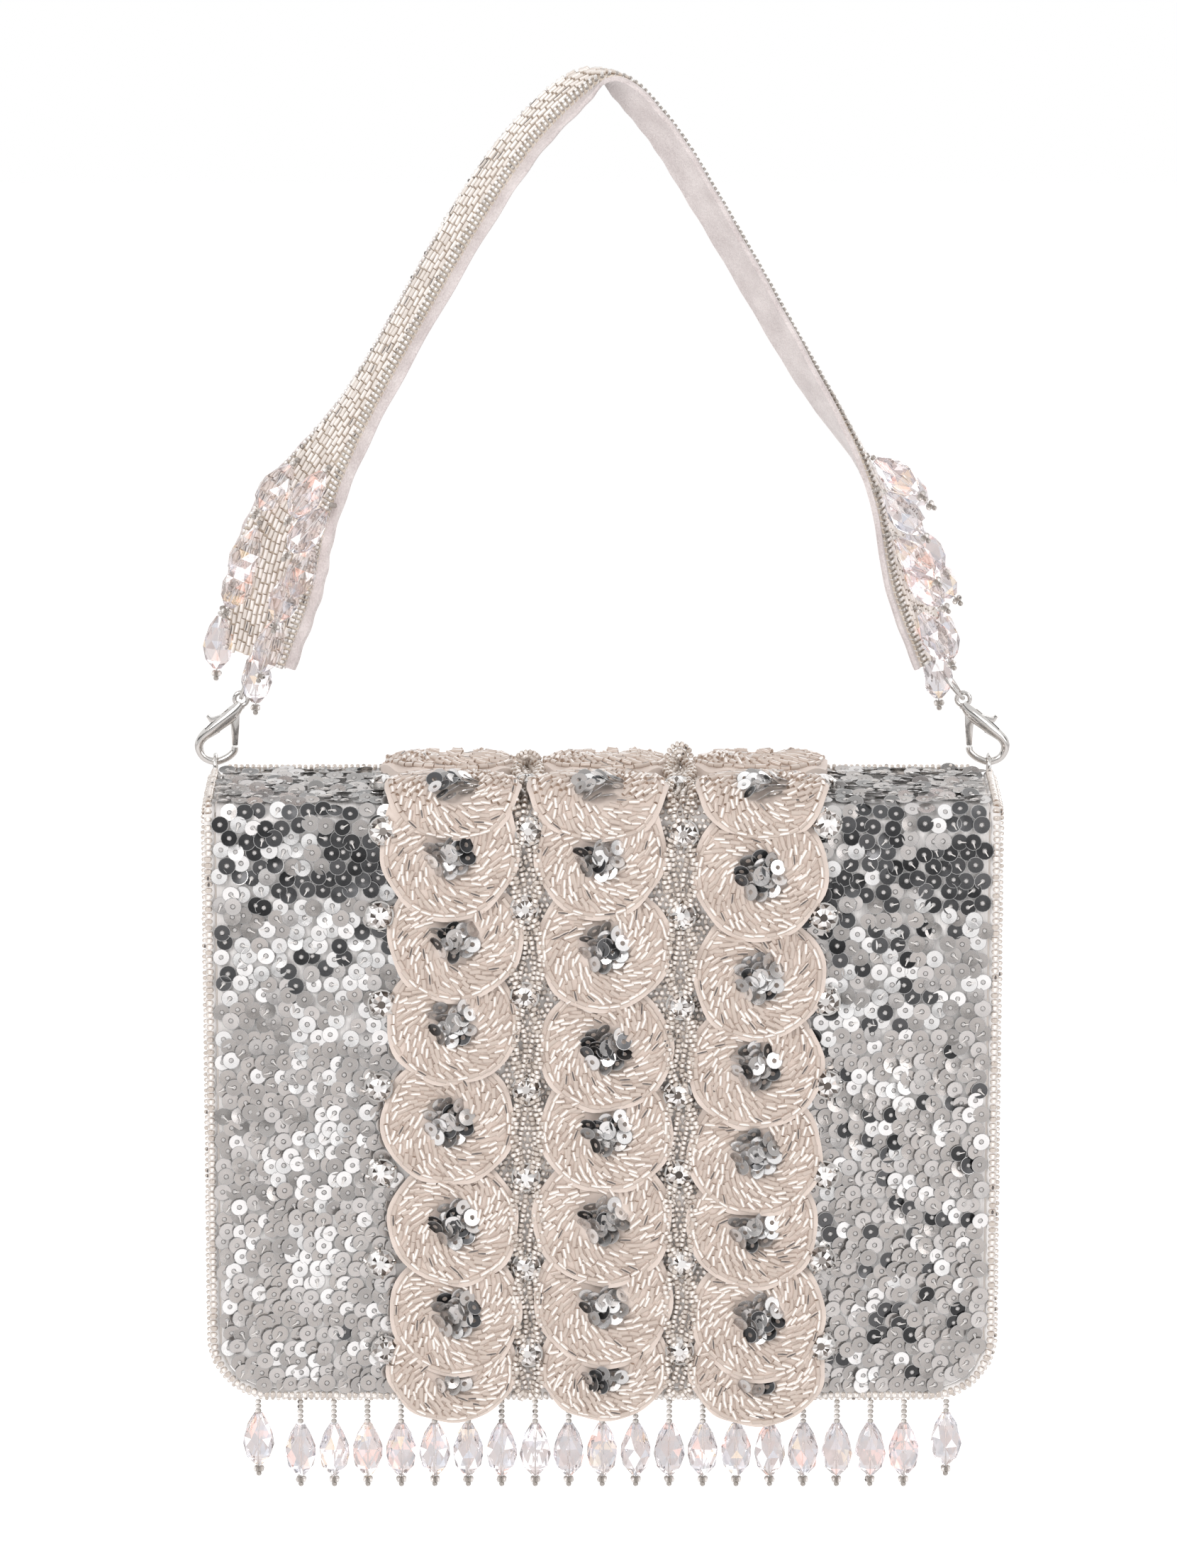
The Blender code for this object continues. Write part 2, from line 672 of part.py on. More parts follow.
def flap_point(x, along, proud):
    """A point on the flap; along runs from the hinge over the top and down, proud is out of its face."""
    if along < TOP_RUN:
        return Vector((x, HINGE.y - along, FLAP_TOP + proud))
    if along < TOP_RUN + FOLD_RUN:
        angle = (along - TOP_RUN) / FOLD_RADIUS
        reach = FOLD_RADIUS + proud
        fold_y = HINGE.y - TOP_RUN
        fold_z = FLAP_TOP - FOLD_RADIUS
        return Vector((x, fold_y - reach * math.sin(angle), fold_z + reach * math.cos(angle)))
    return Vector((x, FLAP_FRONT - proud, FLAP_TOP - FOLD_RADIUS - (along - TOP_RUN - FOLD_RUN)))


def fold_stops():
    return [TOP_RUN + FOLD_RUN * share for share in (0, 0.25, 0.5, 0.75, 1)]


def flap_sheet(name, rows, thickness, finish, parent):
    """A sheet laid on the flap from rows of (along, left, right, proud), thickened outwards."""
    bm = bmesh.new()
    edges = [(bm.verts.new(flap_point(left, along, proud)), bm.verts.new(flap_point(right, along, proud)))
             for along, left, right, proud in rows]
    for (left, right), (next_left, next_right) in zip(edges, edges[1:]):
        bm.faces.new((left, next_left, next_right, right))
    sheet = add_part(name, mesh_from(name, bm), finish, parent)
    wall = sheet.modifiers.new("thickness", "SOLIDIFY")
    wall.thickness = thickness
    wall.offset = 1
    wall.use_even_offset = True
    return sheet


def corner_inset(along, end):
    """How far the rounded lower corner draws the side in at a row of the flap."""
    rise = FLAP_CORNER - (end - along)
    if rise <= 0:
        return 0
    return FLAP_CORNER - math.sqrt(max(FLAP_CORNER ** 2 - rise ** 2, 0))


def flap_rows(start, end, left, right, proud, rounded_left=True, rounded_right=True):
    angles = [math.radians(angle) for angle in (0, 22.5, 45, 67.5, 90)]
    corner = [end - FLAP_CORNER + FLAP_CORNER * math.sin(angle) for angle in angles]
    rows = []
    for along in [start] + fold_stops() + corner:
        inset = corner_inset(along, end)
        rows.append((along, left + inset * rounded_left, right - inset * rounded_right, proud))
    return rows


def build_flap(parent):
    rows = flap_rows(0, FLAP_END, -FLAP_HALF, FLAP_HALF, -FLAP_WALL)
    flap_sheet("flap_panel", rows, FLAP_WALL, SATIN, parent)
    inside = FLAP_HALF - EDGE_ROLL
    lining_start = WALL / 2 + 2 * SEAT_GAP
    lining_low = -FLAP_WALL - SEAT_GAP - FLAP_LINING
    rows = flap_rows(lining_start, FLAP_END - EDGE_ROLL, -inside, inside, lining_low)
    flap_sheet("flap_lining", rows, FLAP_LINING, LINING, parent)
    rosette_edge = ROSETTE_COLUMN_PITCH + ROSETTE_DIAMETER / 2 + 2 * SEAT_GAP
    field = flap_rows(EDGE_ROLL, FLAP_END, -FLAP_HALF, -rosette_edge, SEAT_GAP, True, False)
    flap_sheet("left_sequin_field", field, SEQUIN_FIELD, SILVER, parent)
    field = flap_rows(EDGE_ROLL, FLAP_END, rosette_edge, FLAP_HALF, SEAT_GAP, False, True)
    flap_sheet("right_sequin_field", field, SEQUIN_FIELD, SILVER, parent)
    build_edge_roll(parent)
    build_snap_stud(parent)


def build_edge_roll(parent):
    """The rolled edge worked with seed beads, down one side, round the corners and up the other."""
    side = FLAP_HALF + EDGE_OFFSET
    middle = -FLAP_WALL / 2
    corner_start = FLAP_END - FLAP_CORNER
    half_route = [flap_point(-side, along, middle) for along in [EDGE_ROLL] + fold_stops() + [corner_start]]
    radius = FLAP_CORNER + EDGE_OFFSET
    centre = Vector((FLAP_CORNER - FLAP_HALF, EDGE_Y, FLAP_BOTTOM + FLAP_CORNER))
    for angle in (18, 36, 54, 72, 90):
        turn = math.radians(angle)
        half_route.append(centre + Vector((-radius * math.cos(turn), 0, -radius * math.sin(turn))))
    other = [Vector((-p.x, p.y, p.z)) for p in reversed(half_route)]
    tube("flap_beaded_edge", half_route + other, EDGE_ROLL, ROPE, parent)


def rosette_centres():
    """Where the rosettes of a column sit along the flap, from the hinge down."""
    first = TOP_RUN + FOLD_RADIUS + ROSETTE_FIRST_BELOW_TOP - (2 * FOLD_RADIUS - FOLD_RUN)
    front = [first + ROSETTE_FRONT_PITCH * index for index in range(ROSETTES_ON_FRONT)]
    return [first - 2 * ROSETTE_TOP_PITCH, first - ROSETTE_TOP_PITCH] + front


def rosette(column_x, centre, below):
    """One rosette, round above its centre and reaching below it; its lower rim lifts over the next."""
    radius = ROSETTE_DIAMETER / 2
    cosines = [math.cos(math.radians(angle)) for angle in range(16, 180, 21)]
    stops = [centre - cosine * (radius if cosine > 0 else below) for cosine in cosines]
    stops += [along for along in fold_stops() if stops[0] < along < stops[-1]]
    rows = []
    for along in sorted(stops):
        share = (along - centre) / (radius if along < centre else below)
        half = radius * math.sqrt(1 - share ** 2)
        lift = SEAT_GAP + ROSETTE_LIFT * (along - centre + radius) / (radius + below)
        rows.append((along, column_x - half, column_x + half, lift))
    return flap_sheet("rosette", rows, ROSETTE_THICKNESS, BEADED, None)


def rosette_eye(x, centre):
    """The domed cluster at a rosette's centre, sunk a little into its face."""
    radius = ROSETTE_EYE_DIAMETER / 2
    sunk = -ROSETTE_THICKNESS / 2
    top = ROSETTE_EYE_HEIGHT
    profile = ((0, top), (radius / 2, 0.8 * top), (radius, 0), (radius, sunk), (0, sunk))
    obj = turned("rosette_eye", profile, ROSETTE_EYE_SIDES, BEADED)
    seat = flap_point(x, centre, SEAT_GAP + ROSETTE_LIFT / 2 + ROSETTE_THICKNESS)
    normal = (seat - flap_point(x, centre, 0)).normalized()
    obj.matrix_world = Matrix.Translation(seat) @ normal.to_track_quat("Z", "X").to_matrix().to_4x4()
    return obj


def build_rosettes(parent):
    centres = rosette_centres()
    reaches = [ROSETTE_DIAMETER / 2] * (len(centres) - 1) + [LAST_ROSETTE_REACH]
    for word, column in (("left", -1), ("middle", 0), ("right", 1)):
        x = column * ROSETTE_COLUMN_PITCH
        base = as_mesh_part(rosette(x, centres[0], reaches[0]), f"{word}_rosettes", BEADED, parent)
        for centre, below in zip(centres[1:], reaches[1:]):
            combine(base, add_cutter(rosette(x, centre, below)), "UNION")
        for centre in centres:
            combine(base, add_cutter(rosette_eye(x, centre)), "UNION")


def build_bead_ropes(parent):
    proud = SEAT_GAP + ROPE_DIAMETER / 2
    for word, side in (("left", -1), ("right", 1)):
        x = side * ROSETTE_COLUMN_PITCH / 2
        points = [flap_point(x, along, proud) for along in [EDGE_ROLL] + fold_stops() + [FLAP_END]]
        tube(f"{word}_bead_rope", points, ROPE_DIAMETER, ROPE, parent)


# Fringe

def edge_height(x):
    """Height of the edge roll's centre below x, on the straight or the rounded corner."""
    past = abs(x) - (FLAP_HALF - FLAP_CORNER)
    if past <= 0:
        return EDGE_Z
    radius = FLAP_CORNER + EDGE_OFFSET
    return FLAP_BOTTOM + FLAP_CORNER - math.sqrt(radius ** 2 - past ** 2)


def build_fringe(parent):
    middle = (FRINGE_COUNT - 1) / 2
    row = [(FRINGE_PITCH * (index - middle), STEM_LENGTH) for index in range(FRINGE_COUNT)]
    drops = [(-CORNER_DROP_X, CORNER_STEM_LENGTH)] + row + [(CORNER_DROP_X, CORNER_STEM_LENGTH)]
    for number, (x, stem) in enumerate(drops, start=1):
        profile = drop_profile(-EDGE_OFFSET, stem)
        place = (x, EDGE_Y, edge_height(x))
        turned(f"fringe_drop_{number:02d}", profile, DROP_SIDES, CRYSTAL, parent, place)


def build():
    frames = build_strap()
    bag_axis = axis_empty("bag_swing_axis", (0, 0, SWING_Z))
    flap_axis = axis_empty("flap_hinge_axis", HINGE, bag_axis)
    for side, word in ((-1, "left"), (1, "right")):
        build_strap_ring(side, word, frames)
        build_clasp(side, word)
        build_bag_ring(side, word, bag_axis)
    build_body(bag_axis)
    build_flap(flap_axis)
    build_rosettes(flap_axis)
    build_bead_ropes(flap_axis)
    build_fringe(flap_axis)


build()
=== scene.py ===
"""Looks of the evening bag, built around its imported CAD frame.

Metres, +Z up, the front faces -Y, the origin is the strap's seat under its apex. Beads, sequins and
stones are sewn on guide points by one Geometry Nodes tree; the guide points follow the flap and the strap.
"""

import json
import math
import random

import bmesh
import bpy
from mathutils import Matrix, Vector, noise

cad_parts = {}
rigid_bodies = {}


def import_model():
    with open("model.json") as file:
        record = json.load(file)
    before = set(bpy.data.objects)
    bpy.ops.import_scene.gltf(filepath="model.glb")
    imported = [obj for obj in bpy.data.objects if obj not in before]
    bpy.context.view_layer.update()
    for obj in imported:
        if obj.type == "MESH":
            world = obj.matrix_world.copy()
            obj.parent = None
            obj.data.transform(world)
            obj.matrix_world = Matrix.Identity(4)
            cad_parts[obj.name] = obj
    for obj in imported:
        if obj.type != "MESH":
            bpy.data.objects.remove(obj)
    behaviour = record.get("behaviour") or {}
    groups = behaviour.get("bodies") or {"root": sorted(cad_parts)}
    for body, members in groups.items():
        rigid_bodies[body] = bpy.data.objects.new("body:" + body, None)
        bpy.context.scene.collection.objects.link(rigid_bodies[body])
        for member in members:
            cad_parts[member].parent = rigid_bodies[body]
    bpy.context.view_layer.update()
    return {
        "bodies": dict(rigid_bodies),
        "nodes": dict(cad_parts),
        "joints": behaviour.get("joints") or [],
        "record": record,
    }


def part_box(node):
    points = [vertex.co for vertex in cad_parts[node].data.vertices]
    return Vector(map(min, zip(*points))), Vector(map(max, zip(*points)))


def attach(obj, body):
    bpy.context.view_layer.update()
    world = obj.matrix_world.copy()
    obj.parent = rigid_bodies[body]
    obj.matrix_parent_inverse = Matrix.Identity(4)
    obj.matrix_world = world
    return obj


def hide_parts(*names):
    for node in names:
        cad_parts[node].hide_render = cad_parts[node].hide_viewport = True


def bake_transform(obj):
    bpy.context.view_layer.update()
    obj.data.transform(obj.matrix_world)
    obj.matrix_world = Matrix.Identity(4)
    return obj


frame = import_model()

MM = 0.001
UP = Vector((0, 0, 1))
BACKWARD = Vector((0, 1, 0))

# The view: its elevation, its distance from the strap's plane and the height that the picture covers there
VIEW_ELEVATION = math.radians(13)
VIEW_DISTANCE = 2.2
VIEW_HEIGHT = 460.8 * MM
VIEW_TARGET = Vector((-4.0, 0, -206.8)) * MM

# Sizes that the flap shares with the CAD source
HINGE_Y = -5.6 * MM
FLAP_TOP = -201.2 * MM
FLAP_FRONT = -53.5 * MM
FLAP_BOTTOM = -375.2 * MM
FLAP_HALF = 110.9 * MM
FLAP_WALL = 2.2 * MM
FOLD_RADIUS = 6 * MM
FLAP_CORNER = 15 * MM
EDGE_ROLL = 3.4 * MM
EDGE_OFFSET = 2 * MM
TOP_RUN = HINGE_Y - FLAP_FRONT - FOLD_RADIUS
FOLD_RUN = FOLD_RADIUS * math.pi / 2
FLAP_END = TOP_RUN + FOLD_RUN + FLAP_TOP - FLAP_BOTTOM - FOLD_RADIUS

# Rosettes, numbered from the hinge down; a gathered one is drawn in above or below its centre
ROSETTE_RADIUS = 19.7 * MM
ROSETTE_COLUMNS = (("left", -43.2 * MM), ("middle", 0.0), ("right", 45.0 * MM))
ROSETTE_FIRST = TOP_RUN + 17.6 * MM - (FOLD_RADIUS - FOLD_RUN)
ROSETTE_PITCH = 26.2 * MM
ROSETTE_TOPS = (6 * MM, 43 * MM)
ROSETTE_FRONT_COUNT = 7
# How far each hand-sewn rosette sits below its even place, in millimetres
ROSETTE_SHIFTS = {"left": (0, 0, -5, -6.5, -7.5, -4, 0.5, 1.5, -6.5),
                  "middle": (0, 0, -4.5, -3.5, 0.5, -1.5, -0.5, -2, -7),
                  "right": (0, 0, 1.5, 5.5, 5.5, 5.5, 1.5, 3, -6)}
UPPER_GATHER = {0: 0.23}
LOWER_GATHER = {1: 0.56, 8: 0.78}
ROSETTE_BASE = 0.5 * MM
ROSETTE_LIFT = 2.9 * MM
ROSETTE_PAD = 1.7 * MM
ROSETTE_CREST = 0.62
ROSETTE_CLOTH = 0.5 * MM
TOP_ROSETTE_RAISE = 2.6 * MM
HINGE_ROSETTE_FALL = 2.4 * MM
STONE_FIRST_ROWS = (28.4 * MM, 51.4 * MM)

# Beads and sequins
BUGLE_LENGTH = 2.95 * MM
BUGLE_DIAMETER = 1.5 * MM
SEED_DIAMETER = 1.9 * MM
SEQUIN_DIAMETER = 5.1 * MM
STONE_DIAMETER = 7.6 * MM

# Fringe
EDGE_Y = FLAP_FRONT + FLAP_WALL / 2
FRINGE_PITCH = 9.8 * MM
CORNER_DROP_X = 100.5 * MM
STEM_LENGTH = 7.4 * MM
CORNER_STEM_LENGTH = 4.2 * MM
DROP_DIAMETER = 9.2 * MM
DROP_LENGTH = 15.5 * MM

# Strap, on the same route as in the CAD source: (share of the reach, share of the drop, turn in degrees)
STRAP_DROP = 166.5 * MM
STRAP_CROWN = 1.9 * MM
STRAP_SEAT = 1.5 * MM
BAND_WIDTH = 12.5 * MM
PADDLE_WIDTH = 27 * MM
PADDLE_END_WIDTH = 21 * MM
PADDLE_START = 0.55
PADDLE_WIDEST = 0.86
BACKING_THICKNESS = 1.2 * MM
BACKING_MARGIN = 1.8 * MM
STRAP_ROW_PITCH = 1.62 * MM
LEFT_END_INSET = 4 * MM
RIGHT_END_INSET = 9.5 * MM
LEFT_ROUTE = ((0.17, 0.046, 42), (0.364, 0.203, 45), (0.671, 0.529, 46), (0.87, 0.729, 56), (0.945, 0.86, 62),
              (1, 1, 62))
RIGHT_ROUTE = ((0.16, 0.057, 38), (0.334, 0.215, 35), (0.598, 0.479, 30), (0.806, 0.683, 0), (0.91, 0.85, -18),
               (1, 1, -22))
APEX_TURN = 40

# Clasps and rings
EYE_X = 105.8 * MM
EYE_Z = -181.2 * MM
EYE_RADIUS = 1.95 * MM
EYE_WIRE = 1.3 * MM
HOOK_WIRE = 2.2 * MM
# The hook's route from the eye as (out, height) in millimetres and its share of the wire's thickness
HOOK_ROUTE = ((0, -1.6, 1.35), (2.6, -4.4, 1.95), (7.3, -8.2, 1.85), (11.4, -11.6, 1.35), (12.5, -14.6, 1.12),
              (11, -17.6, 1), (7.7, -18.8, 1), (4.4, -17.7, 1), (2.3, -15.9, 0.96), (1.9, -14.4, 0.9))
LEVER_PIN_AT = (1.8 * MM, -4.9 * MM)
# The lever's outline from its pin: hub, thumb tab, gate
LEVER_OUTLINE = ((-1.3, 0.6), (0.2, 1.5), (6.8, -0.7), (7.8, 0.3), (8.5, -0.3), (7.4, -2.1), (1.5, -1.5),
                 (1.2, -3.6), (0.9, -9.0), (-0.7, -9.0), (-1.2, -3.1))
SLOT_OUT = (-1.5 * MM, 10.6 * MM)
SLOT_HEIGHT = (-9.9 * MM, -2.9 * MM)
CLASP_SLOT = 2.2 * MM
LEVER_THICKNESS = 1.6 * MM
LEVER_PIN = 1.1 * MM
LEVER_PIN_LENGTH = 3.6 * MM
RING_WIRE = 1.2 * MM
RING_X = 113.5 * MM
BAG_RING_REACH = 3.4 * MM
BAG_RING_UPPER = -201.4 * MM
BAG_RING_LOWER = -205.6 * MM

# Body
BODY_HALF = 112.5 * MM
BODY_DEPTH_HALF = 21 * MM
BACK_Y = -4.5 * MM
BODY_MIDDLE = BACK_Y - BODY_DEPTH_HALF
BODY_TOP = -203.7 * MM
BASE_Z = -371.7 * MM


# Shader building

def group_socket(tree, name, way, kind, value=None):
    socket = tree.interface.new_socket(name, in_out=way, socket_type=kind)
    if value is not None:
        socket.default_value = value
    return socket


def attribute_value(nodes, name):
    node = nodes.new("ShaderNodeAttribute")
    node.attribute_name = name
    return node.outputs["Fac"]


def math_node(nodes, links, operation, one, two=0.0):
    """A Math node on two values, each a socket or a number."""
    node = nodes.new("ShaderNodeMath")
    node.operation = operation
    for socket, value in zip(node.inputs, (one, two)):
        if isinstance(value, (int, float)):
            socket.default_value = value
        else:
            links.new(value, socket)
    return node.outputs[0]


def mix_node(nodes, links, factor, one, two):
    """A colour mix by a socket; each colour is a socket or three numbers."""
    node = nodes.new("ShaderNodeMix")
    node.data_type = "RGBA"
    links.new(factor, node.inputs["Factor"])
    for key, value in (("A", one), ("B", two)):
        if isinstance(value, tuple):
            node.inputs[key].default_value = (*value, 1)
        else:
            links.new(value, node.inputs[key])
    return node.outputs["Result"]


def share_between(nodes, links, source, low, high):
    """0 where a value is at the low end, 1 at the high end."""
    node = nodes.new("ShaderNodeMapRange")
    node.inputs["From Min"].default_value = low
    node.inputs["From Max"].default_value = high
    links.new(source, node.inputs["Value"])
    return node.outputs["Result"]


def noise_value(nodes, links, scale, detail=2.0):
    """Noise on the piece's own coordinates."""
    place = nodes.new("ShaderNodeTexCoord")
    node = nodes.new("ShaderNodeTexNoise")
    node.inputs["Detail"].default_value = detail
    links.new(place.outputs["Object"], node.inputs["Vector"])
    if isinstance(scale, (int, float)):
        node.inputs["Scale"].default_value = scale
    else:
        links.new(scale, node.inputs["Scale"])
    return node.outputs["Fac"]


def new_group(name, inputs, outputs):
    """A shader group with (name, kind, value) inputs; returns its tree, nodes, links, entry and leave."""
    tree = bpy.data.node_groups.new(name, "ShaderNodeTree")
    for label, kind, value in inputs:
        group_socket(tree, label, "INPUT", kind, value)
    for label, kind in outputs:
        group_socket(tree, label, "OUTPUT", kind)
    entry = tree.nodes.new("NodeGroupInput").outputs
    leave = tree.nodes.new("NodeGroupOutput").inputs
    return tree, tree.nodes, tree.links, entry, leave


FLOAT = "NodeSocketFloat"
COLOUR = "NodeSocketColor"


def weave_group():
    """Threads of a cloth along the Object axes, for its colour and bump; Rib 1 leaves only the upright ones."""
    tree, nodes, links, entry, leave = new_group(
        "cloth_weave", (("Threads", FLOAT, 2000.0), ("Rib", FLOAT, 0.0)), (("Mask", FLOAT), ("Height", FLOAT)))
    place = nodes.new("ShaderNodeTexCoord")
    parts = nodes.new("ShaderNodeSeparateXYZ")
    links.new(place.outputs["Object"], parts.inputs[0])
    depth = math_node(nodes, links, "ADD", parts.outputs["Y"], parts.outputs["Z"])
    waves = []
    for source in (parts.outputs["X"], depth):
        turn = math_node(nodes, links, "MULTIPLY", source, entry["Threads"])
        waves.append(math_node(nodes, links, "SINE", turn))
    crossed = math_node(nodes, links, "SUBTRACT", 1, entry["Rib"])
    weft = math_node(nodes, links, "ADD", math_node(nodes, links, "MULTIPLY", waves[1], crossed), entry["Rib"])
    height = math_node(nodes, links, "MULTIPLY", waves[0], weft)
    links.new(share_between(nodes, links, height, -1, 1), leave["Mask"])
    links.new(height, leave["Height"])
    return tree


def tone_group():
    """A colour picked for each bead by its tone, between a deep and a light one, with fine specks."""
    tree, nodes, links, entry, leave = new_group(
        "bead_tone", (("Deep", COLOUR, (0.5, 0.5, 0.5, 1)), ("Light", COLOUR, (0.9, 0.9, 0.9, 1)),
                      ("Speck Size", FLOAT, 900.0)), (("Color", COLOUR), ("Gloss", FLOAT)))
    speck = noise_value(nodes, links, entry["Speck Size"])
    level = math_node(nodes, links, "ADD", attribute_value(nodes, "tone"),
                      math_node(nodes, links, "MULTIPLY", speck, 0.35))
    links.new(mix_node(nodes, links, share_between(nodes, links, level, 0.175, 1.175), entry["Deep"], entry["Light"]),
              leave["Color"])
    links.new(speck, leave["Gloss"])
    return tree


def painted_streak_group():
    """Silver-lined glass with its light painted into the colour: painted shade on the flanks, a painted highlight or a
    painted dark streak that the bead's tone picks, and painted brown shade in the hole.
    """
    tree, nodes, links, entry, leave = new_group(
        "painted_streak_flank_and_hole", (("Glass", COLOUR, (0.8, 0.8, 0.8, 1)), ("Flank", COLOUR, (0.5, 0.5, 0.5, 1)),
                        ("Flash", COLOUR, (1, 1, 1, 1)), ("Shade", COLOUR, (0.15, 0.15, 0.15, 1)),
                        ("Hole", COLOUR, (0.35, 0.26, 0.2, 1)), ("Bright From", FLOAT, 0.55),
                        ("Dark Below", FLOAT, 0.1)), (("Color", COLOUR),))
    tone = attribute_value(nodes, "tone")
    painted_light_mask = attribute_value(nodes, "painted_light_mask")
    # Painted shade on the flanks and in the hole; the streak is a painted highlight of the silver lining, or a painted
    # dark reflection
    skin = mix_node(nodes, links, share_between(nodes, links, painted_light_mask, 0.05, 0.75), entry["Flank"], entry["Glass"])
    skin = mix_node(nodes, links, share_between(nodes, links, painted_light_mask, -0.35, -0.8), skin, entry["Hole"])
    streak = share_between(nodes, links, painted_light_mask, 0.82, 0.88)
    for test, limit, colour in (("GREATER_THAN", "Bright From", "Flash"), ("LESS_THAN", "Dark Below", "Shade")):
        picked = math_node(nodes, links, test, tone, entry[limit])
        skin = mix_node(nodes, links, math_node(nodes, links, "MULTIPLY", streak, picked), skin, entry[colour])
    links.new(skin, leave["Color"])
    return tree


def facet_group():
    """A value for each facet that differs from stone to stone."""
    tree, nodes, links, entry, leave = new_group("facet_glint", (("Spread", FLOAT, 1.0),), (("Value", FLOAT),))
    facet = math_node(nodes, links, "MULTIPLY", attribute_value(nodes, "facet"), entry["Spread"])
    total = math_node(nodes, links, "ADD", facet, attribute_value(nodes, "tone"))
    links.new(math_node(nodes, links, "FRACT", total), leave["Value"])
    return tree


WEAVE = weave_group()
TONE = tone_group()
PAINTED_STREAK = painted_streak_group()
FACET = facet_group()


def new_finish(name, **values):
    """A Principled material with plain values on its sockets; returns it with its nodes and links."""
    made = bpy.data.materials.new(name)
    made.use_nodes = True
    shader = made.node_tree.nodes["Principled BSDF"]
    for key, value in values.items():
        shader.inputs[key.replace("_", " ")].default_value = value
    return made, shader, made.node_tree.nodes, made.node_tree.links


def rough_range(nodes, links, source, shader, low, high):
    """Roughness that follows a value from 0 to 1."""
    span = nodes.new("ShaderNodeMapRange")
    span.inputs["To Min"].default_value = low
    span.inputs["To Max"].default_value = high
    links.new(source, span.inputs["Value"])
    links.new(span.outputs["Result"], shader.inputs["Roughness"])


def bump(nodes, links, height, shader, distance, strength=1.0):
    node = nodes.new("ShaderNodeBump")
    node.inputs["Distance"].default_value = distance
    node.inputs["Strength"].default_value = strength
    links.new(height, node.inputs["Height"])
    links.new(node.outputs["Normal"], shader.inputs["Normal"])


def placed_group(nodes, tree, **values):
    """A group in a material, with its own values; an underscore stands for a space."""
    node = nodes.new("ShaderNodeGroup")
    node.node_tree = tree
    for key, value in values.items():
        node.inputs[key.replace("_", " ")].default_value = (*value, 1) if isinstance(value, tuple) else value
    return node


def pass_light(made):
    """Lets the lamps' light through a glass piece, so that it throws no dark shadow on its neighbours."""
    nodes, links = made.node_tree.nodes, made.node_tree.links
    path = nodes.new("ShaderNodeLightPath")
    passing = nodes.new("ShaderNodeBsdfTransparent")
    either = nodes.new("ShaderNodeMixShader")
    links.new(path.outputs["Is Shadow Ray"], either.inputs[0])
    links.new(nodes["Principled BSDF"].outputs[0], either.inputs[1])
    links.new(passing.outputs[0], either.inputs[2])
    links.new(either.outputs[0], nodes["Material Output"].inputs["Surface"])
    return made


def bead_finish(name, deep, light, painted_flank_shade, rough, speck=900.0, painted_streak_tones=(0.5, 0.1), hole=(0.35, 0.26, 0.2), **values):
    """Silver-lined glass that repeats: each bead has its own tone; the pair of tone limits picks which beads get a
    painted highlight streak or a painted dark streak, and the flank and hole colours are painted shade.
    """
    made, shader, nodes, links = new_finish(name, **values)
    tone = placed_group(nodes, TONE, Deep=deep, Light=light, Speck_Size=speck)
    # The white and the dark streak colours are a painted highlight and a painted dark reflection
    streak = placed_group(nodes, PAINTED_STREAK, Flank=painted_flank_shade, Flash=(0.97, 0.94, 0.91), Shade=(0.12, 0.105, 0.1),
                          Hole=hole, Bright_From=painted_streak_tones[0], Dark_Below=painted_streak_tones[1])
    links.new(tone.outputs["Color"], streak.inputs["Glass"])
    links.new(streak.outputs["Color"], shader.inputs["Base Color"])
    rough_range(nodes, links, tone.outputs["Gloss"], shader, *rough)
    return pass_light(made)


def ramp_colour(nodes, links, value, stops, interpolation="LINEAR"):
    ramp = nodes.new("ShaderNodeValToRGB")
    ramp.color_ramp.interpolation = interpolation
    points = ramp.color_ramp.elements
    while len(points) < len(stops):
        points.new(0.5)
    for point, (at, colour) in zip(points, stops):
        point.position = at
        point.color = (*colour, 1)
    links.new(value, ramp.inputs["Fac"])
    return ramp.outputs["Color"]


def ramp_finish(name, source, stops, rough, **values):
    """A finish whose colour follows each piece's tone, or each facet's own value, through a ramp."""
    made, shader, nodes, links = new_finish(name, **values)
    value = placed_group(nodes, FACET).outputs["Value"] if source == "facet" else attribute_value(nodes, source)
    links.new(ramp_colour(nodes, links, value, stops), shader.inputs["Base Color"])
    rough_range(nodes, links, noise_value(nodes, links, 1400, 4), shader, *rough)
    return made


def sequin_finish(name, stops, rim, rough, **values):
    """Thin plated discs whose cut rim shows as a fine painted line: a painted highlight on dark sequins and painted
    shade on light ones.
    """
    made = ramp_finish(name, "tone", stops, rough, **values)
    nodes, links = made.node_tree.nodes, made.node_tree.links
    colour = nodes["Principled BSDF"].inputs["Base Color"]
    plate = colour.links[0].from_socket
    # The rim's grey line is painted light at the sequin's edge
    line = share_between(nodes, links, attribute_value(nodes, "painted_light_mask"), 0.3, 0.5)
    links.new(mix_node(nodes, links, line, plate, rim), colour)
    return made


def crystal_finish(name, stops, painted_glints, rough, **values):
    """Clear cut glass of which a few facets glow with a painted glint."""
    made = ramp_finish(name, "facet", stops, rough, **values)
    nodes, links = made.node_tree.nodes, made.node_tree.links
    value = placed_group(nodes, FACET, Spread=3.0).outputs["Value"]
    painted_glint = ramp_colour(nodes, links, value, painted_glints, "CONSTANT")
    links.new(painted_glint, nodes["Principled BSDF"].inputs["Emission Color"])
    return pass_light(made)


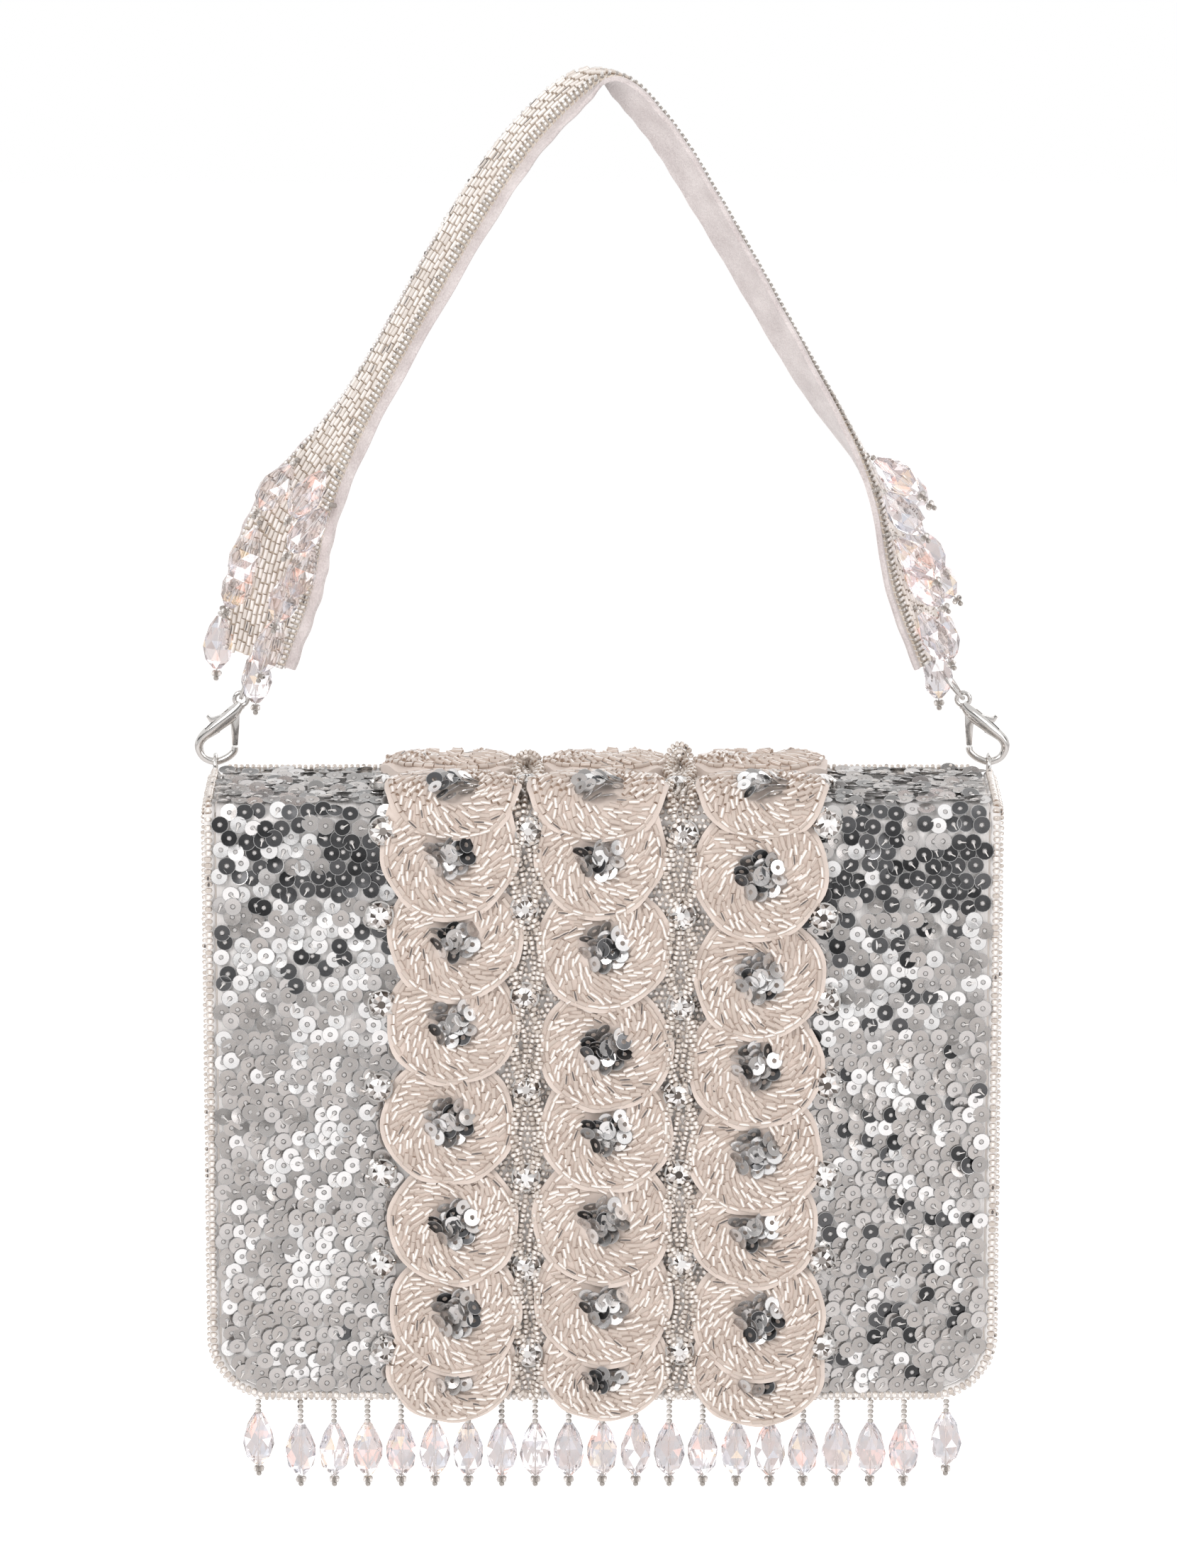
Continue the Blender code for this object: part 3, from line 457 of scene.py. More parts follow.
def slub_value(nodes, links, across, down):
    """Uneven yarn that runs down a cloth: noise drawn out along Z."""
    place = nodes.new("ShaderNodeTexCoord")
    drawn = nodes.new("ShaderNodeMapping")
    drawn.inputs["Scale"].default_value = (across, across, down)
    links.new(place.outputs["Object"], drawn.inputs["Vector"])
    yarn = nodes.new("ShaderNodeTexNoise")
    yarn.inputs["Scale"].default_value = 1.0
    yarn.inputs["Detail"].default_value = 4.0
    links.new(drawn.outputs["Vector"], yarn.inputs["Vector"])
    return yarn.outputs["Fac"]


def cloth_finish(name, deep, light, threads, rough, relief, rib=0.0, thread_share=1.0, **values):
    """Woven cloth: its threads' crossings, uneven yarn and a slow change of colour."""
    made, shader, nodes, links = new_finish(name, **values)
    weave = placed_group(nodes, WEAVE, Threads=threads, Rib=rib)
    cloud = noise_value(nodes, links, 90, 6)
    slub = math_node(nodes, links, "MULTIPLY", slub_value(nodes, links, 700, 30), 1 - thread_share)
    fine = math_node(nodes, links, "MULTIPLY", weave.outputs["Mask"], thread_share)
    mixed = math_node(nodes, links, "MULTIPLY", math_node(nodes, links, "ADD", slub, fine), cloud)
    level = share_between(nodes, links, mixed, 0, 0.5)
    links.new(mix_node(nodes, links, level, deep, light), shader.inputs["Base Color"])
    rough_range(nodes, links, cloud, shader, *rough)
    bump(nodes, links, math_node(nodes, links, "ADD", slub, fine), shader, relief)
    return made


def nap_finish(name, deep, light, grain, rough, relief, **values):
    """Cloth with a standing nap, such as velvet or felt: fine clumps and no threads."""
    made, shader, nodes, links = new_finish(name, **values)
    clump = noise_value(nodes, links, grain, 6)
    drift = noise_value(nodes, links, 120, 3)
    level = share_between(nodes, links, math_node(nodes, links, "ADD", clump, drift), 0.75, 1.25)
    links.new(mix_node(nodes, links, level, deep, light), shader.inputs["Base Color"])
    rough_range(nodes, links, clump, shader, *rough)
    bump(nodes, links, clump, shader, relief)
    return made


def metal_finish(name, deep, light, rough):
    """Plated metal with faint tarnish and hair scratches."""
    made, shader, nodes, links = new_finish(name, Metallic=1.0)
    cloud = noise_value(nodes, links, 260, 8)
    links.new(mix_node(nodes, links, cloud, deep, light), shader.inputs["Base Color"])
    rough_range(nodes, links, cloud, shader, *rough)
    bump(nodes, links, cloud, shader, 0.02 * MM, 0.4)
    return made


# Sequin colours from black to white are painted reflections; the real sequins are all one silver
SEQUIN_REFLECTION_STOPS = ((0.0, (0.04, 0.041, 0.043)), (0.2, (0.13, 0.132, 0.137)), (0.42, (0.34, 0.335, 0.33)),
                (0.62, (0.55, 0.52, 0.50)), (0.8, (0.80, 0.79, 0.79)), (1.0, (1.0, 1.0, 1.0)))
SEQUIN = sequin_finish("silver_sequin_painted_reflections", SEQUIN_REFLECTION_STOPS, (0.5, 0.5, 0.5), (0.14, 0.34), Metallic=0.75)
# Each bead finish's third colour is painted shade on its flanks, and its tone limits pick painted highlight and painted
# dark streaks
BUGLE = bead_finish("blush_bugle", (0.585, 0.50, 0.44), (0.66, 0.575, 0.51), (0.585, 0.50, 0.44), (0.1, 0.25), 700,
                    painted_streak_tones=(0.5, 0.06), Coat_Weight=0.4, Coat_Roughness=0.05)
STRAP_BUGLE = bead_finish("silver_lined_bugle", (0.74, 0.69, 0.64), (0.88, 0.83, 0.78), (0.68, 0.62, 0.56),
                          (0.08, 0.24), 700, painted_streak_tones=(0.45, 0.08), Metallic=0.05, Coat_Weight=0.5, Coat_Roughness=0.04)
CLEAR_BEAD = bead_finish("clear_silver_bead", (0.60, 0.54, 0.485), (0.80, 0.745, 0.695), (0.54, 0.48, 0.425),
                         (0.05, 0.2), 1200, painted_streak_tones=(0.35, 0.04), Metallic=0.1, Coat_Weight=0.5, Coat_Roughness=0.03)
SILVER_BEAD = bead_finish("silver_bead", (0.60, 0.57, 0.54), (0.88, 0.86, 0.84), (0.38, 0.35, 0.32), (0.05, 0.15),
                          1200, painted_streak_tones=(0.3, 0.06), hole=(0.42, 0.39, 0.36), Metallic=0.35, Coat_Weight=0.5, Coat_Roughness=0.03)
# Stone facets from black to white are painted reflections on the foiled stone
STONE_REFLECTION_STOPS = ((0.0, (0.05, 0.04, 0.035)), (0.2, (0.18, 0.15, 0.13)), (0.4, (0.55, 0.52, 0.50)),
               (0.62, (0.92, 0.91, 0.90)), (1.0, (1.0, 1.0, 1.0)))
FOIL_STONE = ramp_finish("foiled_stone", "facet", STONE_REFLECTION_STOPS, (0.02, 0.08), Metallic=0.55, Coat_Weight=0.6,
                         Coat_Roughness=0.02)
# Facet colours are the glass's pale tint with painted reflections; the glint colours glow as painted highlights
CRYSTAL_TINT_AND_REFLECTION_STOPS = ((0.0, (0.78, 0.685, 0.67)), (0.5, (0.80, 0.745, 0.74)), (1.0, (0.72, 0.735, 0.78)))
CRYSTAL_PAINTED_GLINTS = ((0.0, (0, 0, 0)), (0.7, (0.55, 0.56, 0.58)), (0.76, (0.08, 0.1, 0.13)), (0.86, (0.3, 0.13, 0.09)),
                   (0.9, (0.26, 0.19, 0.08)), (0.92, (0, 0, 0)))
CRYSTAL = crystal_finish("pale_crystal", CRYSTAL_TINT_AND_REFLECTION_STOPS, CRYSTAL_PAINTED_GLINTS, (0.0, 0.04), Transmission_Weight=0.9,
                         IOR=1.38, Emission_Strength=1.0)
NICKEL = metal_finish("nickel_plate", (0.58, 0.56, 0.54), (0.78, 0.76, 0.74), (0.08, 0.2))
NET = cloth_finish("silver_net", (0.78, 0.77, 0.76), (0.96, 0.95, 0.94), 14000, (0.4, 0.6), 0.03 * MM, rib=0.8,
                   Sheen_Weight=0.2)
ORGANZA = cloth_finish("blush_organza", (0.72, 0.625, 0.56), (0.83, 0.735, 0.67), 16000, (0.45, 0.7), 0.05 * MM,
                       Sheen_Weight=0.3)
VELVET = nap_finish("white_velvet", (0.58, 0.52, 0.515), (0.79, 0.735, 0.725), 1800, (0.8, 1.0), 0.3 * MM,
                    Sheen_Weight=0.6)
FELT = nap_finish("ivory_felt", (0.62, 0.54, 0.45), (0.82, 0.75, 0.66), 1200, (0.8, 1.0), 0.25 * MM,
                  Sheen_Weight=0.3)
SATIN = cloth_finish("ivory_satin", (0.60, 0.555, 0.51), (0.84, 0.80, 0.755), 16000, (0.28, 0.5), 0.12 * MM,
                     thread_share=0.15, Sheen_Weight=0.2)
LINING = cloth_finish("lining_cloth", (0.52, 0.46, 0.42), (0.76, 0.70, 0.655), 9000, (0.5, 0.75), 0.12 * MM,
                      thread_share=0.3)
THREAD = cloth_finish("white_thread", (0.70, 0.68, 0.66), (0.88, 0.87, 0.85), 9000, (0.5, 0.8), 0.03 * MM)
KNOT = cloth_finish("clear_knot", (0.40, 0.40, 0.40), (0.66, 0.65, 0.64), 9000, (0.2, 0.5), 0.03 * MM)


# Meshes

def add_object(name, mesh, *finishes):
    obj = bpy.data.objects.new(name, mesh)
    bpy.context.scene.collection.objects.link(obj)
    for finish in finishes:
        mesh.materials.append(finish)
    return obj


SHARP_TURN = math.radians(50)


def mesh_from(name, bm, smooth=False):
    """A mesh from a bmesh; a smooth one keeps its hard corners crisp."""
    for face in bm.faces:
        face.smooth = smooth
    for edge in bm.edges:
        edge.smooth = edge.calc_face_angle(0) < SHARP_TURN
    mesh = bpy.data.meshes.new(name)
    bm.to_mesh(mesh)
    bm.free()
    return mesh


def turned(profile, sides, closed=False, stagger=False):
    """A bmesh turned about Z from (radius, height) points; stagger turns every second ring by half a side."""
    bm = bmesh.new()
    rings = []
    for level, (radius, height) in enumerate(profile):
        shift = 0.5 if stagger and level % 2 else 0
        angles = [2 * math.pi * (side + shift) / sides for side in range(sides)]
        rings.append([bm.verts.new((radius * math.cos(a), radius * math.sin(a), height)) for a in angles])
    pairs = list(zip(rings, rings[1:]))
    if closed:
        pairs.append((rings[-1], rings[0]))
    for level, (ring, following) in enumerate(pairs):
        for side in range(sides):
            other = (side + 1) % sides
            if not stagger:
                bm.faces.new((ring[side], ring[other], following[other], following[side]))
            elif level % 2 == 0:
                bm.faces.new((ring[side], ring[other], following[side]))
                bm.faces.new((ring[other], following[other], following[side]))
            else:
                bm.faces.new((ring[side], ring[other], following[other]))
                bm.faces.new((ring[side], following[other], following[side]))
    if not closed:
        bm.faces.new(rings[0][::-1])
        bm.faces.new(rings[-1])
    bmesh.ops.recalc_face_normals(bm, faces=bm.faces)
    return bm


def tube(bm, route, radii, sides=12, closed=False):
    """Adds a round bar along a route to a bmesh; radii is one radius or one for each point."""
    count = len(route)
    rings = []
    normal = None
    for index, place in enumerate(route):
        ahead = route[(index + 1) % count] if closed or index + 1 < count else place
        behind = route[index - 1] if closed or index else place
        along = (ahead - behind).normalized()
        if normal is None:
            normal = along.orthogonal()
        normal = (normal - along * normal.dot(along)).normalized()
        other = along.cross(normal)
        radius = radii[index] if isinstance(radii, list) else radii
        ring = []
        for side in range(sides):
            angle = 2 * math.pi * side / sides
            ring.append(bm.verts.new(place + (normal * math.cos(angle) + other * math.sin(angle)) * radius))
        rings.append(ring)
    pairs = list(zip(rings, rings[1:]))
    if closed:
        pairs.append((rings[-1], rings[0]))
    for ring, following in pairs:
        for side in range(sides):
            near = (side + 1) % sides
            bm.faces.new((ring[side], ring[near], following[near], following[side]))
    if not closed:
        bm.faces.new(rings[0][::-1])
        bm.faces.new(rings[-1])


def bar(name, route, radii, finish, sides=12, closed=False):
    bm = bmesh.new()
    tube(bm, route, radii, sides, closed)
    bmesh.ops.recalc_face_normals(bm, faces=bm.faces)
    return add_object(name, mesh_from(name, bm, True), finish)


# How far the painted highlight streak narrows towards a bead's ends
PAINTED_STREAK_TAPER = 0.06


def mark_painted_light(mesh, radius, half):
    """Marks how far a bead's skin faces out of the cloth, along +X, for its painted highlight streak and painted flank
    shade; its hole, where shade is painted, is marked below 0.
    """
    painted_light_mask = mesh.attributes.new("painted_light_mask", "FLOAT", "POINT")
    for vertex, item in zip(mesh.vertices, painted_light_mask.data):
        around = math.hypot(vertex.co.x, vertex.co.y)
        if around < 0.6 * radius:
            item.value = -1.0
        else:
            item.value = vertex.co.x / around - PAINTED_STREAK_TAPER * (vertex.co.z / half) ** 2


def mark_facets(mesh, seed):
    """Gives each facet a value of its own."""
    rng = random.Random(seed)
    facet = mesh.attributes.new("facet", "FLOAT", "FACE")
    for item in facet.data:
        item.value = rng.random()


def bugle_shape(length, diameter):
    """A short glass tube along Z with a dimple for its hole at both ends."""
    radius, half = diameter / 2, length / 2
    profile = ((0.42 * radius, 0.84 * half), (radius, half), (radius, 0), (radius, -half),
               (0.42 * radius, -0.84 * half))
    mesh = mesh_from("bugle_shape", turned(profile, 8), True)
    mark_painted_light(mesh, radius, half)
    return add_object("bugle_shape", mesh)


def seed_shape(diameter):
    radius = diameter / 2
    profile = ((0.35, 0.6), (0.8, 0.5), (1, 0), (0.8, -0.5), (0.35, -0.6))
    mesh = mesh_from("seed_shape", turned([(r * radius, z * radius) for r, z in profile], 8), True)
    mark_painted_light(mesh, radius, 0.6 * radius)
    return add_object("seed_shape", mesh)


def sequin_shape(diameter):
    """A cupped disc with a hole, facing +Z; its outermost ring is marked for the rim's painted light line."""
    radius, hole = diameter / 2, 0.3 * diameter / 2
    thick, cup = 0.14 * MM, 0.12 * MM
    profile = ((hole, thick), (0.9 * radius, 0.86 * cup + thick), (radius, cup + thick), (radius, cup), (hole, 0))
    mesh = mesh_from("sequin_shape", turned(profile, 16, closed=True))
    painted_light_mask = mesh.attributes.new("painted_light_mask", "FLOAT", "POINT")
    for vertex, item in zip(mesh.vertices, painted_light_mask.data):
        item.value = 1.0 if vertex.co.xy.length > 0.95 * radius else 0.0
    return add_object("sequin_shape", mesh)


def knot_shape(diameter):
    """The thread's knot in a sequin's hole: a low dome on Z."""
    radius = diameter / 2
    profile = ((0.35, 0.6), (0.85, 0.35), (1, 0))
    return add_object("knot_shape", mesh_from("knot_shape", turned([(r * radius, z * radius) for r, z in profile], 6),
                                              True))


def stone_shape(diameter):
    """A round cut stone, its table up."""
    radius = diameter / 2
    profile = ((0.3, 0.52), (0.7, 0.37), (1, 0.05), (1, -0.05), (0.4, -0.45))
    bm = turned([(r * radius, z * radius) for r, z in profile], 12, stagger=True)
    mesh = mesh_from("stone_shape", bm)
    mark_facets(mesh, 3)
    return add_object("stone_shape", mesh)


def cup_shape(diameter):
    """A claw cup for a stone: a collar and four bent claws."""
    radius = diameter / 2
    profile = ((0.86, -0.55), (1.1, -0.5), (1.12, 0.02), (1.0, 0.02))
    bm = turned([(r * radius, z * radius) for r, z in profile], 16, closed=True)
    for claw in range(4):
        turn = Matrix.Rotation(math.pi / 2 * claw + math.pi / 4, 4, "Z")
        route = [(1.08, -0.4), (1.12, 0.05), (1.02, 0.2), (0.84, 0.32)]
        tube(bm, [turn @ Vector((r * radius, 0, z * radius)) for r, z in route], 0.14 * radius, 6)
    bmesh.ops.recalc_face_normals(bm, faces=bm.faces)
    return add_object("cup_shape", mesh_from("cup_shape", bm, True))


def drop_shape(diameter, length):
    """A faceted drop that hangs below its origin: long kites above, short ones below."""
    radius = diameter / 2
    profile = ((0.28, 0), (0.68, -0.2), (0.94, -0.44), (1, -0.6), (0.8, -0.83), (0.28, -1))
    bm = turned([(r * radius, z * length) for r, z in profile], 8, stagger=True)
    mesh = mesh_from("drop_shape", bm)
    mark_facets(mesh, 4)
    return add_object("drop_shape", mesh)


def stitch_shape(length, diameter):
    """One sewn stitch along Z, thick where it comes up and thin where it goes down."""
    bm = bmesh.new()
    route, radii = [], []
    for step in range(5):
        share = step / 4
        route.append(Vector((0.35 * diameter * math.sin(math.pi * share), 0, length * (share - 0.5))))
        radii.append(diameter * (0.75 - 0.4 * share))
    tube(bm, route, radii, 6)
    bmesh.ops.recalc_face_normals(bm, faces=bm.faces)
    return add_object("stitch_shape", mesh_from("stitch_shape", bm, True))


# Sewing: one shape on each guide point

def sewing_tree():
    """Sets a shape on guide points: its Z follows each point's axis and its X the point's face."""
    tree = bpy.data.node_groups.new("sewn_on_points", "GeometryNodeTree")
    group_socket(tree, "Guides", "INPUT", "NodeSocketGeometry")
    group_socket(tree, "Shape", "INPUT", "NodeSocketObject")
    group_socket(tree, "Size", "INPUT", "NodeSocketFloat", 1.0)
    group_socket(tree, "Size Spread", "INPUT", "NodeSocketFloat", 0.0)
    group_socket(tree, "Tilt", "INPUT", "NodeSocketFloat", 0.0)
    group_socket(tree, "Seed", "INPUT", "NodeSocketInt", 1)
    group_socket(tree, "Finish", "INPUT", "NodeSocketMaterial")
    group_socket(tree, "Sewn", "OUTPUT", "NodeSocketGeometry")
    nodes, links = tree.nodes, tree.links
    entry = nodes.new("NodeGroupInput")
    leave = nodes.new("NodeGroupOutput")
    points = nodes.new("GeometryNodeMeshToPoints")
    links.new(entry.outputs["Guides"], points.inputs["Mesh"])
    shape = nodes.new("GeometryNodeObjectInfo")
    links.new(entry.outputs["Shape"], shape.inputs["Object"])

    def named(name, kind):
        node = nodes.new("GeometryNodeInputNamedAttribute")
        node.data_type = kind
        node.inputs["Name"].default_value = name
        return node.outputs["Attribute"]

    along = nodes.new("FunctionNodeAlignRotationToVector")
    along.axis = "Z"
    links.new(named("axis", "FLOAT_VECTOR"), along.inputs["Vector"])
    facing = nodes.new("FunctionNodeAlignRotationToVector")
    facing.axis = "X"
    facing.pivot_axis = "Z"
    links.new(along.outputs["Rotation"], facing.inputs["Rotation"])
    links.new(named("face", "FLOAT_VECTOR"), facing.inputs["Vector"])

    lean = nodes.new("FunctionNodeRandomValue")
    lean.data_type = "FLOAT_VECTOR"
    links.new(entry.outputs["Seed"], lean.inputs["Seed"])
    less = nodes.new("ShaderNodeMath")
    less.operation = "MULTIPLY"
    less.inputs[1].default_value = -1
    links.new(entry.outputs["Tilt"], less.inputs[0])
    links.new(less.outputs[0], lean.inputs["Min"])
    links.new(entry.outputs["Tilt"], lean.inputs["Max"])
    turn = nodes.new("FunctionNodeEulerToRotation")
    links.new(lean.outputs["Value"], turn.inputs["Euler"])
    leant = nodes.new("FunctionNodeRotateRotation")
    leant.rotation_space = "LOCAL"
    links.new(facing.outputs["Rotation"], leant.inputs["Rotation"])
    links.new(turn.outputs["Rotation"], leant.inputs["Rotate By"])

    spread = nodes.new("FunctionNodeRandomValue")
    spread.data_type = "FLOAT"
    links.new(entry.outputs["Seed"], spread.inputs["Seed"])
    for end, sign in (("Min", -1), ("Max", 1)):
        limit = nodes.new("ShaderNodeMath")
        limit.operation = "MULTIPLY_ADD"
        limit.inputs[1].default_value = sign
        limit.inputs[2].default_value = 1
        links.new(entry.outputs["Size Spread"], limit.inputs[0])
        links.new(limit.outputs[0], spread.inputs[end])
    own = nodes.new("ShaderNodeMath")
    own.operation = "MULTIPLY"
    links.new(named("size", "FLOAT"), own.inputs[0])
    links.new(spread.outputs["Value"], own.inputs[1])
    scale = nodes.new("ShaderNodeMath")
    scale.operation = "MULTIPLY"
    links.new(own.outputs[0], scale.inputs[0])
    links.new(entry.outputs["Size"], scale.inputs[1])

    place = nodes.new("GeometryNodeInstanceOnPoints")
    links.new(points.outputs["Points"], place.inputs["Points"])
    links.new(shape.outputs["Geometry"], place.inputs["Instance"])
    links.new(leant.outputs["Rotation"], place.inputs["Rotation"])
    links.new(scale.outputs[0], place.inputs["Scale"])
    real = nodes.new("GeometryNodeRealizeInstances")
    links.new(place.outputs["Instances"], real.inputs["Geometry"])
    finish = nodes.new("GeometryNodeSetMaterial")
    links.new(real.outputs["Geometry"], finish.inputs["Geometry"])
    links.new(entry.outputs["Finish"], finish.inputs["Material"])
    links.new(finish.outputs["Geometry"], leave.inputs["Sewn"])
    return tree


SEWING = sewing_tree()


def sew(name, guides, shape, finish, tilt=0.0, spread=0.0, seed=1):
    """Sews a shape on guides, which are rows of (place, axis, face, size, tone); returns a plain mesh object."""
    mesh = bpy.data.meshes.new(name)
    mesh.from_pydata([guide[0] for guide in guides], [], [])
    for column, (key, kind) in enumerate((("axis", "FLOAT_VECTOR"), ("face", "FLOAT_VECTOR"),
                                          ("size", "FLOAT"), ("tone", "FLOAT")), start=1):
        layer = mesh.attributes.new(key, kind, "POINT")
        for item, guide in zip(layer.data, guides):
            if kind == "FLOAT":
                item.value = guide[column]
            else:
                item.vector = guide[column]
    obj = add_object(name, mesh)
    sewing = obj.modifiers.new("sewing", "NODES")
    sewing.node_group = SEWING
    values = {"Shape": shape, "Size Spread": spread, "Tilt": tilt, "Seed": seed, "Finish": finish}
    for socket in SEWING.interface.items_tree:
        if socket.in_out == "INPUT" and socket.name in values:
            sewing[socket.identifier] = values[socket.name]
    bpy.context.view_layer.update()
    depsgraph = bpy.context.evaluated_depsgraph_get()
    done = bpy.data.meshes.new_from_object(obj.evaluated_get(depsgraph), preserve_all_data_layers=True,
                                           depsgraph=depsgraph)
    obj.modifiers.clear()
    obj.data = done
    for key in ("axis", "face", "size"):
        if key in done.attributes:
            done.attributes.remove(done.attributes[key])
    return obj


BUGLE_SHAPE = bugle_shape(BUGLE_LENGTH, BUGLE_DIAMETER)
SEED_SHAPE = seed_shape(SEED_DIAMETER)
SEQUIN_SHAPE = sequin_shape(SEQUIN_DIAMETER)
STONE_SHAPE = stone_shape(STONE_DIAMETER)
CUP_SHAPE = cup_shape(STONE_DIAMETER)
DROP_SHAPE = drop_shape(DROP_DIAMETER, DROP_LENGTH)
STITCH_SHAPE = stitch_shape(1.8 * MM, 0.34 * MM)
KNOT_SHAPE = knot_shape(1.3 * MM)


# The flap's surface

def flap_point(x, along, proud):
    """A point on the flap; along runs from the hinge over the top and down, proud is out of its face."""
    if along < TOP_RUN:
        return Vector((x, HINGE_Y - along, FLAP_TOP + proud))
    if along < TOP_RUN + FOLD_RUN:
        angle = (along - TOP_RUN) / FOLD_RADIUS
        reach = FOLD_RADIUS + proud
        return Vector((x, HINGE_Y - TOP_RUN - reach * math.sin(angle),
                       FLAP_TOP - FOLD_RADIUS + reach * math.cos(angle)))
    return Vector((x, FLAP_FRONT - proud, FLAP_TOP - FOLD_RADIUS - (along - TOP_RUN - FOLD_RUN)))


def flap_normal(along):
    return (flap_point(0, along, MM) - flap_point(0, along, 0)).normalized()


def corner_inset(along, end):
    """How far the rounded lower corner draws the side in at a row of the flap."""
    rise = FLAP_CORNER - (end - along)
    if rise <= 0:
        return 0
    return FLAP_CORNER - math.sqrt(max(FLAP_CORNER ** 2 - rise ** 2, 0))


def flap_sheet(name, start, end, half, proud, thickness, finish):
    """Cloth laid on the flap, wrapped to a rounded rim, with fine rows so that the fold is smooth."""
    rows = 120
    columns = 24
    bm = bmesh.new()
    grid = []
    for row in range(rows + 1):
        share = row / rows
        along = start + (end - start) * math.sin(share * math.pi / 2) ** 0.8
        edge = half - corner_inset(along, end)
        grid.append([bm.verts.new(flap_point(edge * (2 * column / columns - 1), along, proud))
                     for column in range(columns + 1)])
    for upper, lower in zip(grid, grid[1:]):
        for column in range(columns):
            bm.faces.new((upper[column], lower[column], lower[column + 1], upper[column + 1]))
    sheet = add_object(name, mesh_from(name, bm, True), finish)
    wall = sheet.modifiers.new("thickness", "SOLIDIFY")
    wall.thickness = thickness
    wall.offset = 1
    return sheet


def rosette_centres():
    front = [ROSETTE_FIRST + ROSETTE_PITCH * index for index in range(ROSETTE_FRONT_COUNT)]
    return [*ROSETTE_TOPS, *front]


CENTRES = rosette_centres()
LAST_ROSETTE = len(CENTRES) - 1


def column_rosettes(word, column_x, seed):
    """The rosettes of one column from the top down, each as (x, along, radius, number)."""
    rng = random.Random(seed)
    rosettes = []
    for number, along in enumerate(CENTRES):
        x = column_x + rng.uniform(-1.3, 1.3) * MM
        radius = ROSETTE_RADIUS * rng.uniform(0.965, 1.035)
        rosettes.append((x, along + ROSETTE_SHIFTS[word][number] * MM, radius, number))
    return rosettes


def gather(number, down):
    """How much of its own length a rosette keeps at a point below (or above) its centre."""
    return (LOWER_GATHER if down > 0 else UPPER_GATHER).get(number, 1)


def rosette_place(rosette, across, down, proud):
    """A point of a rosette from its centre: a padded ring whose lower rim lifts over the next one down."""
    x, along, radius, number = rosette
    share = min(math.hypot(across, down) / radius, 1)
    pad = max(0, 1 - ((share - ROSETTE_CREST) / 0.46) ** 2)
    down *= gather(number, down)
    lift = ROSETTE_BASE + ROSETTE_LIFT * (down + radius) / (2 * radius)
    if along + down < TOP_RUN + FOLD_RUN:
        lift += TOP_ROSETTE_RAISE * min(1, (TOP_RUN + FOLD_RUN - along - down) / (12 * MM))
    if number == 0:
        lift -= HINGE_ROSETTE_FALL * share ** 3
    return flap_point(x + across, along + down, lift + ROSETTE_PAD * pad + proud)


def covered(rosette, x, along, margin):
    """True where a rosette lies over a point of the flap."""
    fall = along - rosette[1]
    fall /= gather(rosette[3], fall)
    return math.hypot(x - rosette[0], fall) < rosette[2] - margin


def under_upper(rosettes, rosette, across, down, margin):
    """True where the rosette above lies over this point."""
    number = rosette[3]
    along = rosette[1] + down * gather(number, down)
    return number > 0 and covered(rosettes[number - 1], rosette[0] + across, along, margin)


def wobble(number, angle):
    """The uneven rim of a hand-cut rosette, as a share of its radius."""
    return 1 + 0.02 * math.sin(3 * angle + number) + 0.014 * math.sin(7 * angle + 2.3 * number)


def rosette_cloth(word, rosettes):
    """The organza discs of one column, each lapping over the one below; the one at the hinge is padded full."""
    bm = bmesh.new()
    rings, sides = 8, 64
    for rosette in rosettes:
        number = rosette[3]
        for face_proud, flip in ((ROSETTE_CLOTH, False), (0.0, True)):
            previous = None
            for ring in range(rings + 1):
                row = []
                for side in range(sides):
                    angle = 2 * math.pi * side / sides
                    radius = rosette[2] * ring / rings * wobble(number, angle)
                    flutter = 0.7 * MM * (ring / rings) ** 6 * math.sin(9 * angle + number)
                    across, down = radius * math.sin(angle), radius * math.cos(angle)
                    if flip and number == 0:
                        point = flap_point(rosette[0] + across, rosette[1] + down * gather(0, down), 0.1 * MM)
                    else:
                        point = rosette_place(rosette, across, down, face_proud + flutter)
                    row.append(bm.verts.new(point))
                if previous:
                    for side in range(sides):
                        other = (side + 1) % sides
                        face = (previous[side], previous[other], row[other], row[side])
                        bm.faces.new(face[::-1] if flip else face)
                previous = row
            if face_proud:
                upper_rim = previous
        for side in range(sides):
            other = (side + 1) % sides
            bm.faces.new((upper_rim[side], upper_rim[other], previous[other], previous[side]))
    bmesh.ops.remove_doubles(bm, verts=bm.verts, dist=0.01 * MM)
    bmesh.ops.recalc_face_normals(bm, faces=bm.faces)
    return add_object(f"{word}_rosette_cloth", mesh_from("rosette_cloth", bm, True), ORGANZA)


BUGLE_RINGS = (8.6 * MM, 10.4 * MM, 12.2 * MM, 14.0 * MM, 15.8 * MM)
INNER_RINGS = (2.4 * MM, 4.5 * MM, 6.6 * MM)
BUGLE_SWIRL = math.radians(50)
BUGLE_SPACING = 1.6 * MM
RIM_RING = 17.7 * MM


